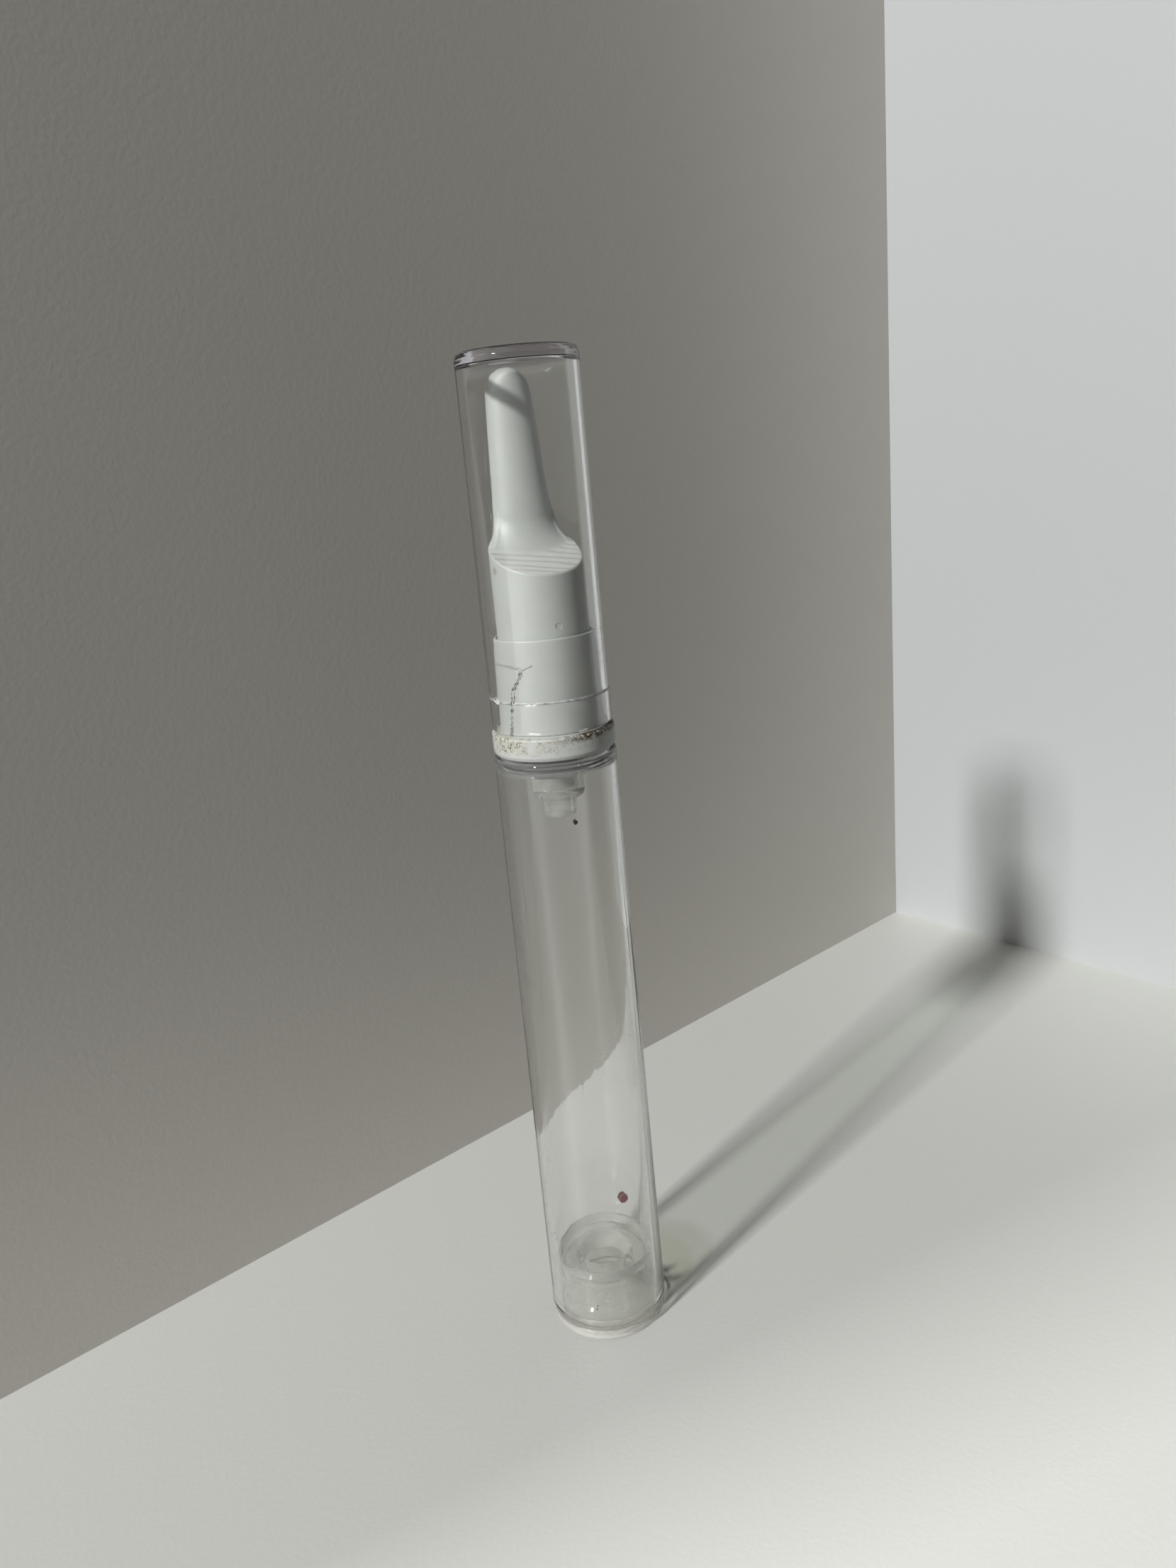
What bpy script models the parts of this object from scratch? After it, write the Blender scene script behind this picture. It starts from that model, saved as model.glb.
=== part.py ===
"""Slim airless pump bottle with a spatula applicator and a clear overcap, empty, standing closed.

Run with: blender --background --python part.py, or from Blender's text editor.
Units are metres, +Z is up, and the origin is the middle of the foot. Each piece is one object.
"""

import math

import bmesh
import bpy
from mathutils import Matrix, Vector

# Clearances
GAP = 0.0003  # between a piece and the seat or bore that carries it
SNAP_CLEARANCE = 0.0001  # between the overcap's bead and the widest part of the collar

# Bottle body: a clear barrel with draft outside, a straight bore, a shoulder and a neck
BODY_FOOT_RADIUS = 0.00925
BODY_TOP_RADIUS = 0.00873
BODY_BORE_RADIUS = 0.00785
BODY_LENGTH = 0.0930
SHOULDER_THICKNESS = 0.0014
NECK_RADIUS = 0.0059
NECK_WALL = 0.0010
NECK_HEIGHT = 0.0055
NECK_BEAD_DEPTH = 0.0004
NECK_BEAD_HEIGHT = 0.0009
NECK_BEAD_ABOVE_SHOULDER = 0.0036

# Base plug: the foot ring, a floor with an air hole, and a spigot in the bore
FOOT_RADIUS = 0.00907
FOOT_HEIGHT = 0.0015
FOOT_RING_WIDTH = 0.0012
FOOT_RECESS_DEPTH = 0.0006
SPIGOT_HEIGHT = 0.0012
SPIGOT_WALL = 0.0009
AIR_HOLE_RADIUS = 0.0010

# Follower piston: two wiping lips, a waist, a dished crown and a hollow skirt
PISTON_HEIGHT = 0.0088
PISTON_LIP_HEIGHT = 0.0016
PISTON_UPPER_LIP_HEIGHT = 0.0028
PISTON_WAIST_DEPTH = 0.0005
PISTON_WALL = 0.0008
PISTON_CROWN_DROP = 0.0008
PISTON_RECESS_RADIUS = 0.0040
PISTON_RECESS_FLOOR_RADIUS = 0.00355
PISTON_RECESS_DEPTH = 0.0028

# Collar: white skirt that snaps on the neck, with the flange that the overcap stands on
FLANGE_RADIUS = 0.00868
FLANGE_HEIGHT = 0.00335
FLANGE_LOWER_ROUND = 0.0007
COLLAR_HEIGHT = 0.0166
COLLAR_FOOT_RADIUS = 0.00743
COLLAR_WAIST_RADIUS = 0.00722
COLLAR_RING_RADIUS = 0.00738
COLLAR_SLEEVE_RADIUS = 0.00724
COLLAR_TOP_RADIUS = 0.00706
COLLAR_RING_ABOVE_FLANGE = 0.0049
COLLAR_RING_STEP = 0.0003
COLLAR_SLEEVE_BELOW_TOP = 0.0032
COLLAR_SNAP_RIB_HEIGHT = 0.0008
WEB_THICKNESS = 0.0009
WEB_HOLE_RADIUS = 0.0020

# Pump: housing, gasket, guide, stem, piston rod, piston seal and inlet valve
GASKET_THICKNESS = 0.0007
HOUSING_FLANGE_THICKNESS = 0.0009
HOUSING_RADIUS = 0.0038
HOUSING_LOWER_RADIUS = 0.0037
HOUSING_LOWER_LENGTH = 0.0030
HOUSING_WALL = 0.0009
HOUSING_BELOW_SHOULDER = 0.0067
HOUSING_FLOOR_THICKNESS = 0.0012
INLET_TUBE_RADIUS = 0.00233
INLET_TUBE_WALL = 0.0008
INLET_TUBE_LENGTH = 0.0028
INLET_HOLE_RADIUS = 0.0009
VALVE_RADIUS = 0.0023
VALVE_THICKNESS = 0.0005
VALVE_STEM_RADIUS = 0.0005
VALVE_STEM_LENGTH = 0.0014
VALVE_LIFT = 0.0005
ROD_HEAD_RADIUS = 0.0021
ROD_HEAD_HEIGHT = 0.0007
ROD_SHAFT_LENGTH = 0.0080
STEM_RADIUS = 0.0016
STEM_WALL = 0.0007
STEM_FOOT_RADIUS = 0.0022
STEM_FOOT_HEIGHT = 0.0006
SEAL_HEIGHT = 0.0029
SEAL_WAIST_DEPTH = 0.0005
SEAL_SLIP = 0.0004
GUIDE_FLANGE_RADIUS = 0.0056
GUIDE_FLANGE_THICKNESS = 0.0008

# Return spring
SPRING_LENGTH = 0.0090
SPRING_WIRE_RADIUS = 0.00025
SPRING_COIL_RADIUS = 0.0024
SPRING_TURNS = 6.5
SPRING_POINTS_A_TURN = 10

# Applicator head: a skirted shank cut off aslant, and the rounded spatula that rises from it
HEAD_TURN = math.radians(18)
STROKE = 0.0035
SHANK_RADIUS = 0.00642
SHANK_TOP_RADIUS = 0.00633
SHANK_WALL = 0.0011
SHANK_FRONT_HEIGHT = 0.0115
SHANK_CAVITY_HEIGHT = 0.0097
CUT_SLOPE = 0.45
HEAD_LENGTH = 0.0382
SOCKET_RADIUS = 0.0029
SOCKET_DEPTH = 0.0059
BLADE_BASE_HALF_WIDTH = 0.0043
BLADE_TIP_HALF_WIDTH = 0.00305
BLADE_BASE_OFFSET = 0.0045
BLADE_TIP_OFFSET = 0.0059
BLADE_BASE_FRONT_DEPTH = 0.0031
BLADE_TIP_FRONT_DEPTH = 0.0027
BLADE_BASE_BACK_DEPTH = 0.0018
BLADE_TIP_BACK_DEPTH = 0.0009
BLADE_TIP_ROUND = 0.0031
BLADE_EDGE_ROUND = 0.0009
TIP_THINNING = 0.9
RIM_ROUND = 0.0009
LEDGE_FADE = 0.0042
FILLET_REACH = 0.0032
FILLET_SHARE = 0.9
FILLET_HEIGHT = 0.0038
CHANNEL_RADIUS = 0.0006
OUTLET_BELOW_TIP = 0.0037

# Overcap: clear, with draft, a flat top and a snap bead inside its mouth
CAP_LENGTH = 0.04995
CAP_MOUTH_RADIUS = 0.00851
CAP_TOP_RADIUS = 0.00819
CAP_TOP_THICKNESS = 0.00155
CAP_TOP_ROUND = 0.0010
CAP_WALL = 0.00076
CAP_MOUTH_WALL = 0.00056
CAP_MOUTH_CHAMFER = 0.0002
CAP_BEAD_WIDTH = 0.00045
CAP_BEAD_DEPTH = 0.0001

# How round things are drawn
LARGE_SEGMENTS = 36
SMALL_SEGMENTS = 24
HEAD_SEGMENTS = 48
ARC_STEPS = 2
RIM_STEPS = 2
FLARE_STEPS = 6
BLADE_STEPS = 5
TIP_STEPS = 7
TIP_FLAT = 0.35
SHARP_ANGLE = math.radians(34)
MERGE_DISTANCE = 1e-7

# Heights that follow from the stack of pieces, from the foot up
BODY_BOTTOM = FOOT_HEIGHT + GAP
SHOULDER_TOP = BODY_BOTTOM + BODY_LENGTH
SHOULDER_UNDERSIDE = SHOULDER_TOP - SHOULDER_THICKNESS
NECK_TOP = SHOULDER_TOP + NECK_HEIGHT
PISTON_BOTTOM = FOOT_HEIGHT + SPIGOT_HEIGHT + GAP
COLLAR_BOTTOM = SHOULDER_TOP + GAP
FLANGE_TOP = COLLAR_BOTTOM + FLANGE_HEIGHT
COLLAR_TOP = COLLAR_BOTTOM + COLLAR_HEIGHT
GASKET_BOTTOM = NECK_TOP + GAP
HOUSING_FLANGE_BOTTOM = GASKET_BOTTOM + GASKET_THICKNESS + GAP
HOUSING_TOP = HOUSING_FLANGE_BOTTOM + HOUSING_FLANGE_THICKNESS
GUIDE_FLANGE_BOTTOM = HOUSING_TOP + GAP
WEB_BOTTOM = GUIDE_FLANGE_BOTTOM + GUIDE_FLANGE_THICKNESS + GAP
WEB_TOP = WEB_BOTTOM + WEB_THICKNESS
SPRING_BOTTOM = WEB_TOP + GAP
SOCKET_BOTTOM = SPRING_BOTTOM + SPRING_LENGTH + GAP
SOCKET_END = SOCKET_BOTTOM + SOCKET_DEPTH
STEM_TOP = SOCKET_END - GAP
SHANK_BOTTOM = WEB_TOP + STROKE + GAP
HEAD_TOP = SHANK_BOTTOM + HEAD_LENGTH
CAP_BOTTOM = FLANGE_TOP + GAP
CAP_TOP = CAP_BOTTOM + CAP_LENGTH
HOUSING_BOTTOM = SHOULDER_TOP - HOUSING_BELOW_SHOULDER
CHAMBER_FLOOR = HOUSING_BOTTOM + HOUSING_FLOOR_THICKNESS
VALVE_BOTTOM = CHAMBER_FLOOR + GAP
ROD_BOTTOM = VALVE_BOTTOM + VALVE_THICKNESS + VALVE_LIFT + GAP + STROKE
SEAL_BOTTOM = ROD_BOTTOM + ROD_HEAD_HEIGHT + GAP
STEM_BOTTOM = SEAL_BOTTOM + SEAL_HEIGHT + SEAL_SLIP + GAP
GUIDE_BOTTOM = STEM_BOTTOM + STEM_FOOT_HEIGHT + GAP

# Radii that follow from the piece they run in or on
NECK_BEAD_RADIUS = NECK_RADIUS + NECK_BEAD_DEPTH
NECK_BORE_RADIUS = NECK_RADIUS - NECK_WALL
COLLAR_BORE_RADIUS = NECK_BEAD_RADIUS + GAP
COLLAR_MOUTH_RADIUS = SHANK_RADIUS + GAP
HOUSING_BORE_RADIUS = HOUSING_RADIUS - HOUSING_WALL
PISTON_RADIUS = BODY_BORE_RADIUS - GAP
STEM_BORE_RADIUS = STEM_RADIUS - STEM_WALL

WHITE_PLASTIC = ("white_plastic", (0.83, 0.85, 0.83), 0.36, 0.0, 0.0)
CLEAR_PLASTIC = ("clear_plastic", (0.95, 0.96, 0.96), 0.04, 0.0, 1.0)
MILKY_PLASTIC = ("milky_plastic", (0.86, 0.88, 0.87), 0.30, 0.0, 0.7)
SOFT_PLASTIC = ("soft_plastic", (0.80, 0.82, 0.81), 0.42, 0.0, 0.2)
SPRING_STEEL = ("spring_steel", (0.62, 0.62, 0.60), 0.25, 1.0, 0.0)


def clear_scene():
    for thing in list(bpy.data.objects):
        bpy.data.objects.remove(thing, do_unlink=True)


def finish_of(values):
    """The Principled material of one finish: name, colour, roughness, metallic, transmission."""
    name, colour, roughness, metallic, transmission = values
    found = bpy.data.materials.get(name)
    if found:
        return found
    material = bpy.data.materials.new(name)
    material.use_nodes = True
    shader = material.node_tree.nodes["Principled BSDF"]
    shader.inputs["Base Color"].default_value = (*colour, 1.0)
    shader.inputs["Roughness"].default_value = roughness
    shader.inputs["Metallic"].default_value = metallic
    shader.inputs["Transmission Weight"].default_value = transmission
    material.diffuse_color = (*colour, 1.0)
    return material


def pivot(name, height, turn=0.0):
    """An empty on the bottle's axis that carries the pieces of one moving group."""
    empty = bpy.data.objects.new(name, None)
    bpy.context.scene.collection.objects.link(empty)
    empty.location = (0, 0, height)
    empty.rotation_euler = (0, 0, turn)
    return empty


def place(name, data, finish, height, carrier=None):
    """Makes the named object with its origin on the axis at that height."""
    thing = bpy.data.objects.new(name, data)
    bpy.context.scene.collection.objects.link(thing)
    data.materials.append(finish_of(finish))
    if carrier:
        thing.parent = carrier
        thing.location = (0, 0, height - carrier.location.z)
    else:
        thing.location = (0, 0, height)
    return thing


def arc_corner(before, corner, after, radius):
    """The points of a fillet at a corner of a flat outline, no longer than its two sides allow."""
    to_before = Vector(before) - Vector(corner)
    to_after = Vector(after) - Vector(corner)
    half_angle = to_before.angle(to_after) / 2
    reach = min(radius / math.tan(half_angle), 0.49 * to_before.length, 0.49 * to_after.length)
    radius = reach * math.tan(half_angle)
    middle = (to_before.normalized() + to_after.normalized()).normalized()
    centre = Vector(corner) + middle * (radius / math.sin(half_angle))
    start = Vector(corner) + to_before.normalized() * reach - centre
    end = Vector(corner) + to_after.normalized() * reach - centre
    sweep = start.angle_signed(end)
    points = []
    for step in range(ARC_STEPS + 1):
        angle = -sweep * step / ARC_STEPS
        turned_start = Matrix.Rotation(angle, 2) @ start
        points.append(centre + turned_start)
    return points


def rounded(corners):
    """The points of a section whose corners are (radius, height) or (radius, height, fillet)."""
    points = []
    for index, corner in enumerate(corners):
        if len(corner) == 2:
            points.append(Vector(corner))
            continue
        before = corners[index - 1][:2]
        after = corners[(index + 1) % len(corners)][:2]
        points.extend(arc_corner(before, corner[:2], after, corner[2]))
    return points


def mesh_from(name, builder):
    """A mesh from a bmesh with its doubles merged and its faces pointing out."""
    bmesh.ops.remove_doubles(builder, verts=builder.verts, dist=MERGE_DISTANCE)
    bmesh.ops.recalc_face_normals(builder, faces=builder.faces)
    mesh = bpy.data.meshes.new(name)
    builder.to_mesh(mesh)
    builder.free()
    mesh.shade_smooth()
    mesh.set_sharp_from_angle(angle=SHARP_ANGLE)
    return mesh


def turned_mesh(name, corners, height, segments):
    """A section spun once round the axis. A section that starts and ends on the axis is left open there."""
    builder = bmesh.new()
    points = rounded(corners)
    vertices = [builder.verts.new((point.x, 0, point.y - height)) for point in points]
    pairs = list(zip(vertices, vertices[1:]))
    if points[0].x > 0 or points[-1].x > 0:
        pairs.append((vertices[-1], vertices[0]))
    edges = [builder.edges.new(pair) for pair in pairs]
    bmesh.ops.spin(
        builder,
        geom=vertices + edges,
        cent=(0, 0, 0),
        axis=(0, 0, 1),
        angle=math.tau,
        steps=segments,
        use_merge=True,
    )
    return mesh_from(name, builder)


def turned(name, corners, finish, height, segments=LARGE_SEGMENTS, carrier=None):
    return place(name, turned_mesh(name, corners, height, segments), finish, height, carrier)


def cutter(name, mesh, carrier):
    """A shape that only cuts: it shows as wire and isn't rendered."""
    thing = bpy.data.objects.new(name, mesh)
    bpy.context.scene.collection.objects.link(thing)
    thing.parent = carrier
    thing.hide_render = True
    thing.display_type = "WIRE"
    return thing


def cut(target, tool):
    modifier = target.modifiers.new("cut_" + tool.name, "BOOLEAN")
    modifier.operation = "DIFFERENCE"
    modifier.object = tool


def make_base_plug():
    ring_inner = FOOT_RADIUS - FOOT_RING_WIDTH
    spigot_radius = BODY_BORE_RADIUS - GAP
    spigot_top = FOOT_HEIGHT + SPIGOT_HEIGHT
    turned(
        "base_plug",
        [
            (AIR_HOLE_RADIUS, FOOT_RECESS_DEPTH),
            (ring_inner, FOOT_RECESS_DEPTH),
            (ring_inner, 0),
            (FOOT_RADIUS, 0, 0.0003),
            (FOOT_RADIUS, FOOT_HEIGHT, 0.0003),
            (spigot_radius, FOOT_HEIGHT),
            (spigot_radius, spigot_top, 0.0003),
            (spigot_radius - SPIGOT_WALL, spigot_top, 0.0002),
            (spigot_radius - SPIGOT_WALL, FOOT_HEIGHT),
            (AIR_HOLE_RADIUS, FOOT_HEIGHT),
        ],
        CLEAR_PLASTIC,
        0,
    )


def make_bottle_body():
    bead_bottom = SHOULDER_TOP + NECK_BEAD_ABOVE_SHOULDER
    bead_top = bead_bottom + NECK_BEAD_HEIGHT
    turned(
        "bottle_body",
        [
            (BODY_BORE_RADIUS, BODY_BOTTOM, 0.0003),
            (BODY_FOOT_RADIUS, BODY_BOTTOM, 0.0006),
            (BODY_TOP_RADIUS, SHOULDER_TOP, 0.0003),
            (NECK_RADIUS, SHOULDER_TOP),
            (NECK_RADIUS, bead_bottom),
            (NECK_BEAD_RADIUS, bead_bottom + NECK_BEAD_DEPTH / 2),
            (NECK_BEAD_RADIUS, bead_top - NECK_BEAD_DEPTH),
            (NECK_RADIUS, bead_top),
            (NECK_RADIUS, NECK_TOP, 0.0002),
            (NECK_BORE_RADIUS, NECK_TOP),
            (NECK_BORE_RADIUS, SHOULDER_UNDERSIDE, 0.0003),
            (BODY_BORE_RADIUS, SHOULDER_UNDERSIDE, 0.0006),
        ],
        CLEAR_PLASTIC,
        BODY_BOTTOM,
    )


def make_follower_piston():
    top = PISTON_BOTTOM + PISTON_HEIGHT
    crown = top - PISTON_CROWN_DROP
    crown_underside = crown - PISTON_WALL
    waist = PISTON_RADIUS - PISTON_WAIST_DEPTH
    recess_floor = crown - PISTON_RECESS_DEPTH
    upper_lip_bottom = top - PISTON_UPPER_LIP_HEIGHT
    lower_lip_top = PISTON_BOTTOM + PISTON_LIP_HEIGHT
    skirt_inner = waist - PISTON_WALL
    lip_inner = PISTON_RADIUS - PISTON_WALL / 2
    groove_outer = waist - PISTON_WALL / 4
    turned(
        "follower_piston",
        [
            (0, recess_floor),
            (PISTON_RECESS_FLOOR_RADIUS, recess_floor),
            (PISTON_RECESS_RADIUS, crown, 0.0002),
            (skirt_inner, crown),
            (groove_outer, crown - PISTON_WALL),
            (lip_inner, top),
            (PISTON_RADIUS, top),
            (PISTON_RADIUS, upper_lip_bottom),
            (waist, upper_lip_bottom - PISTON_WAIST_DEPTH),
            (waist, lower_lip_top + PISTON_WAIST_DEPTH),
            (PISTON_RADIUS, lower_lip_top),
            (PISTON_RADIUS, PISTON_BOTTOM),
            (lip_inner, PISTON_BOTTOM),
            (skirt_inner, lower_lip_top),
            (skirt_inner, crown_underside - PISTON_WALL),
            (PISTON_RECESS_RADIUS + PISTON_WALL, crown_underside - PISTON_WALL),
            (PISTON_RECESS_FLOOR_RADIUS + PISTON_WALL, recess_floor - PISTON_WALL),
            (0, recess_floor - PISTON_WALL),
        ],
        SOFT_PLASTIC,
        PISTON_BOTTOM,
    )


def make_collar():
    ring_bottom = FLANGE_TOP + COLLAR_RING_ABOVE_FLANGE
    rib_top = SHOULDER_TOP + NECK_BEAD_ABOVE_SHOULDER - GAP
    rib_bottom = rib_top - COLLAR_SNAP_RIB_HEIGHT
    rib_radius = NECK_RADIUS + GAP
    rib_depth = COLLAR_BORE_RADIUS - rib_radius
    turned(
        "collar",
        [
            (COLLAR_BORE_RADIUS, COLLAR_BOTTOM),
            (FLANGE_RADIUS, COLLAR_BOTTOM, FLANGE_LOWER_ROUND),
            (FLANGE_RADIUS, FLANGE_TOP, 0.0003),
            (COLLAR_FOOT_RADIUS, FLANGE_TOP),
            (COLLAR_WAIST_RADIUS, ring_bottom - COLLAR_RING_STEP),
            (COLLAR_RING_RADIUS, ring_bottom),
            (COLLAR_SLEEVE_RADIUS, COLLAR_TOP - COLLAR_SLEEVE_BELOW_TOP),
            (COLLAR_TOP_RADIUS, COLLAR_TOP, 0.0003),
            (COLLAR_MOUTH_RADIUS, COLLAR_TOP),
            (COLLAR_MOUTH_RADIUS, WEB_TOP),
            (WEB_HOLE_RADIUS, WEB_TOP),
            (WEB_HOLE_RADIUS, WEB_BOTTOM),
            (COLLAR_BORE_RADIUS, WEB_BOTTOM),
            (COLLAR_BORE_RADIUS, rib_top),
            (rib_radius, rib_top - rib_depth / 2),
            (rib_radius, rib_bottom + rib_depth / 2),
            (COLLAR_BORE_RADIUS, rib_bottom),
        ],
        WHITE_PLASTIC,
        COLLAR_BOTTOM,
    )


def make_gasket():
    turned(
        "neck_gasket",
        [
            (NECK_BORE_RADIUS, GASKET_BOTTOM),
            (NECK_RADIUS, GASKET_BOTTOM),
            (NECK_RADIUS, GASKET_BOTTOM + GASKET_THICKNESS),
            (NECK_BORE_RADIUS, GASKET_BOTTOM + GASKET_THICKNESS),
        ],
        SOFT_PLASTIC,
        GASKET_BOTTOM,
    )


def make_pump_housing():
    upper_radius = NECK_BORE_RADIUS - GAP
    upper_bottom = SHOULDER_TOP
    step = HOUSING_BOTTOM + HOUSING_LOWER_LENGTH
    tube_bottom = HOUSING_BOTTOM - INLET_TUBE_LENGTH
    tube_bore = INLET_TUBE_RADIUS - INLET_TUBE_WALL
    seat = CHAMBER_FLOOR - HOUSING_FLOOR_THICKNESS / 2
    turned(
        "pump_housing",
        [
            (HOUSING_BORE_RADIUS, HOUSING_TOP),
            (HOUSING_BORE_RADIUS, CHAMBER_FLOOR, 0.0002),
            (INLET_HOLE_RADIUS, CHAMBER_FLOOR),
            (INLET_HOLE_RADIUS, seat),
            (tube_bore, seat - (tube_bore - INLET_HOLE_RADIUS)),
            (tube_bore, tube_bottom),
            (INLET_TUBE_RADIUS, tube_bottom, 0.0002),
            (INLET_TUBE_RADIUS, HOUSING_BOTTOM),
            (HOUSING_LOWER_RADIUS, HOUSING_BOTTOM, 0.0006),
            (HOUSING_LOWER_RADIUS, step),
            (HOUSING_RADIUS, step),
            (HOUSING_RADIUS, upper_bottom),
            (upper_radius, upper_bottom + (upper_radius - HOUSING_RADIUS)),
            (upper_radius, HOUSING_FLANGE_BOTTOM),
            (NECK_BEAD_RADIUS, HOUSING_FLANGE_BOTTOM),
            (NECK_BEAD_RADIUS, HOUSING_TOP),
        ],
        MILKY_PLASTIC,
        tube_bottom,
    )


def make_stem_guide():
    plug_radius = HOUSING_BORE_RADIUS - GAP
    bore = STEM_RADIUS + GAP
    flange_top = GUIDE_FLANGE_BOTTOM + GUIDE_FLANGE_THICKNESS
    turned(
        "stem_guide",
        [
            (bore, GUIDE_BOTTOM),
            (plug_radius, GUIDE_BOTTOM, 0.0002),
            (plug_radius, GUIDE_FLANGE_BOTTOM),
            (GUIDE_FLANGE_RADIUS, GUIDE_FLANGE_BOTTOM),
            (GUIDE_FLANGE_RADIUS, flange_top),
            (bore, flange_top),
        ],
        WHITE_PLASTIC,
        GUIDE_FLANGE_BOTTOM,
        SMALL_SEGMENTS,
    )


def make_inlet_valve():
    """A mushroom valve: its disc covers the inlet hole and its stem hangs in it."""
    top = VALVE_BOTTOM + VALVE_THICKNESS
    turned(
        "inlet_valve",
        [
            (0, top),
            (VALVE_RADIUS, top, 0.0002),
            (VALVE_RADIUS, VALVE_BOTTOM),
            (VALVE_STEM_RADIUS, VALVE_BOTTOM),
            (VALVE_STEM_RADIUS, VALVE_BOTTOM - VALVE_STEM_LENGTH),
            (0, VALVE_BOTTOM - VALVE_STEM_LENGTH),
        ],
        SOFT_PLASTIC,
        VALVE_BOTTOM,
        SMALL_SEGMENTS,
        pivot("inlet_valve_lift", VALVE_BOTTOM),
    )


def make_stem_and_rod(carrier):
    foot_top = STEM_BOTTOM + STEM_FOOT_HEIGHT
    turned(
        "pump_stem",
        [
            (STEM_BORE_RADIUS, STEM_BOTTOM),
            (STEM_FOOT_RADIUS, STEM_BOTTOM),
            (STEM_FOOT_RADIUS, foot_top),
            (STEM_RADIUS, foot_top),
            (STEM_RADIUS, STEM_TOP, 0.0002),
            (STEM_BORE_RADIUS, STEM_TOP),
        ],
        WHITE_PLASTIC,
        STEM_BOTTOM,
        SMALL_SEGMENTS,
        carrier,
    )
    shaft_radius = STEM_BORE_RADIUS - GAP
    head_top = ROD_BOTTOM + ROD_HEAD_HEIGHT
    turned(
        "piston_rod",
        [
            (0, ROD_BOTTOM),
            (ROD_HEAD_RADIUS, ROD_BOTTOM, 0.0003),
            (ROD_HEAD_RADIUS, head_top),
            (shaft_radius, head_top),
            (shaft_radius, head_top + ROD_SHAFT_LENGTH, 0.0002),
            (0, head_top + ROD_SHAFT_LENGTH),
        ],
        WHITE_PLASTIC,
        ROD_BOTTOM,
        SMALL_SEGMENTS,
        carrier,
    )


def make_piston_seal():
    """A sleeve with a wiping lip at each end that slips a little on the rod, which opens the way out."""
    radius = HOUSING_BORE_RADIUS - GAP
    waist = radius - SEAL_WAIST_DEPTH
    top = SEAL_BOTTOM + SEAL_HEIGHT
    lip = SEAL_HEIGHT / 4
    turned(
        "piston_seal",
        [
            (STEM_BORE_RADIUS, SEAL_BOTTOM),
            (radius, SEAL_BOTTOM),
            (radius, SEAL_BOTTOM + lip),
            (waist, SEAL_BOTTOM + lip + SEAL_WAIST_DEPTH),
            (waist, top - lip - SEAL_WAIST_DEPTH),
            (radius, top - lip),
            (radius, top),
            (STEM_BORE_RADIUS, top),
        ],
        SOFT_PLASTIC,
        SEAL_BOTTOM,
        SMALL_SEGMENTS,
        pivot("piston_seal_slip", SEAL_BOTTOM),
    )


def spring_points():
    """The wire's centre line: an even helix between its two seats."""
    rise = SPRING_LENGTH - 2 * SPRING_WIRE_RADIUS
    count = round(SPRING_TURNS * SPRING_POINTS_A_TURN)
    points = []
    for index in range(count + 1):
        share = index / count
        angle = math.tau * SPRING_TURNS * share
        x = SPRING_COIL_RADIUS * math.cos(angle)
        y = SPRING_COIL_RADIUS * math.sin(angle)
        points.append(Vector((x, y, SPRING_WIRE_RADIUS + rise * share)))
    return points


def least_gap(points):
    """The least distance between the wire and its next turn, less the wire itself."""
    near = SPRING_POINTS_A_TURN // 2
    least = min(
        (first - second).length
        for index, first in enumerate(points)
        for second in points[index + near:]
    )
    return least - 2 * SPRING_WIRE_RADIUS


def make_return_spring():
    points = spring_points()
    curve = bpy.data.curves.new("return_spring", "CURVE")
    curve.dimensions = "3D"
    curve.bevel_depth = SPRING_WIRE_RADIUS
    curve.bevel_resolution = 1
    curve.use_fill_caps = True
    spline = curve.splines.new("POLY")
    spline.points.add(len(points) - 1)
    for spline_point, point in zip(spline.points, points):
        spline_point.co = (*point, 1.0)
    place("return_spring", curve, SPRING_STEEL, SPRING_BOTTOM)
    print(f"return_spring: least gap to itself {least_gap(points) * 1000:.2f} mm")


def between(base, tip, share):
    return base + (tip - base) * share


def blade_section(share, narrowing, thinning, angle):
    """A point of the blade's level section: half an ellipse in front and a flatter one behind.

    share runs from the blade's base to its tip, and angle is 0 at +X and a quarter turn at the back.
    """
    half_width = between(BLADE_BASE_HALF_WIDTH, BLADE_TIP_HALF_WIDTH, share) * narrowing
    offset = between(BLADE_BASE_OFFSET, BLADE_TIP_OFFSET, share)
    depth = between(BLADE_BASE_FRONT_DEPTH, BLADE_TIP_FRONT_DEPTH, share)
    if math.sin(angle) > 0:
        depth = between(BLADE_BASE_BACK_DEPTH, BLADE_TIP_BACK_DEPTH, share)
    return Vector((half_width * math.cos(angle), offset + depth * thinning * math.sin(angle)))


def blade_angle(azimuth):
    """The angle on the blade's section that belongs to a direction from the shank's axis.

    The blade's sides stand flush on the shank's wall, so they belong to the two directions where
    they meet it, and the directions in front of and behind these are spread over its two halves.
    """
    flush = math.atan2(BLADE_BASE_OFFSET, BLADE_BASE_HALF_WIDTH)
    quarter = math.pi / 2
    side = math.atan2(math.sin(azimuth), abs(math.cos(azimuth)))
    if side < flush:
        angle = (side - flush) * quarter / (quarter + flush)
    else:
        angle = (side - flush) * quarter / (quarter - flush)
    return angle if math.cos(azimuth) >= 0 else math.pi - angle


def cut_height(y):
    """The height of the slanted cut above the shank's bottom, which rises towards the back."""
    return SHANK_FRONT_HEIGHT + CUT_SLOPE * (y + SHANK_TOP_RADIUS)


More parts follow.
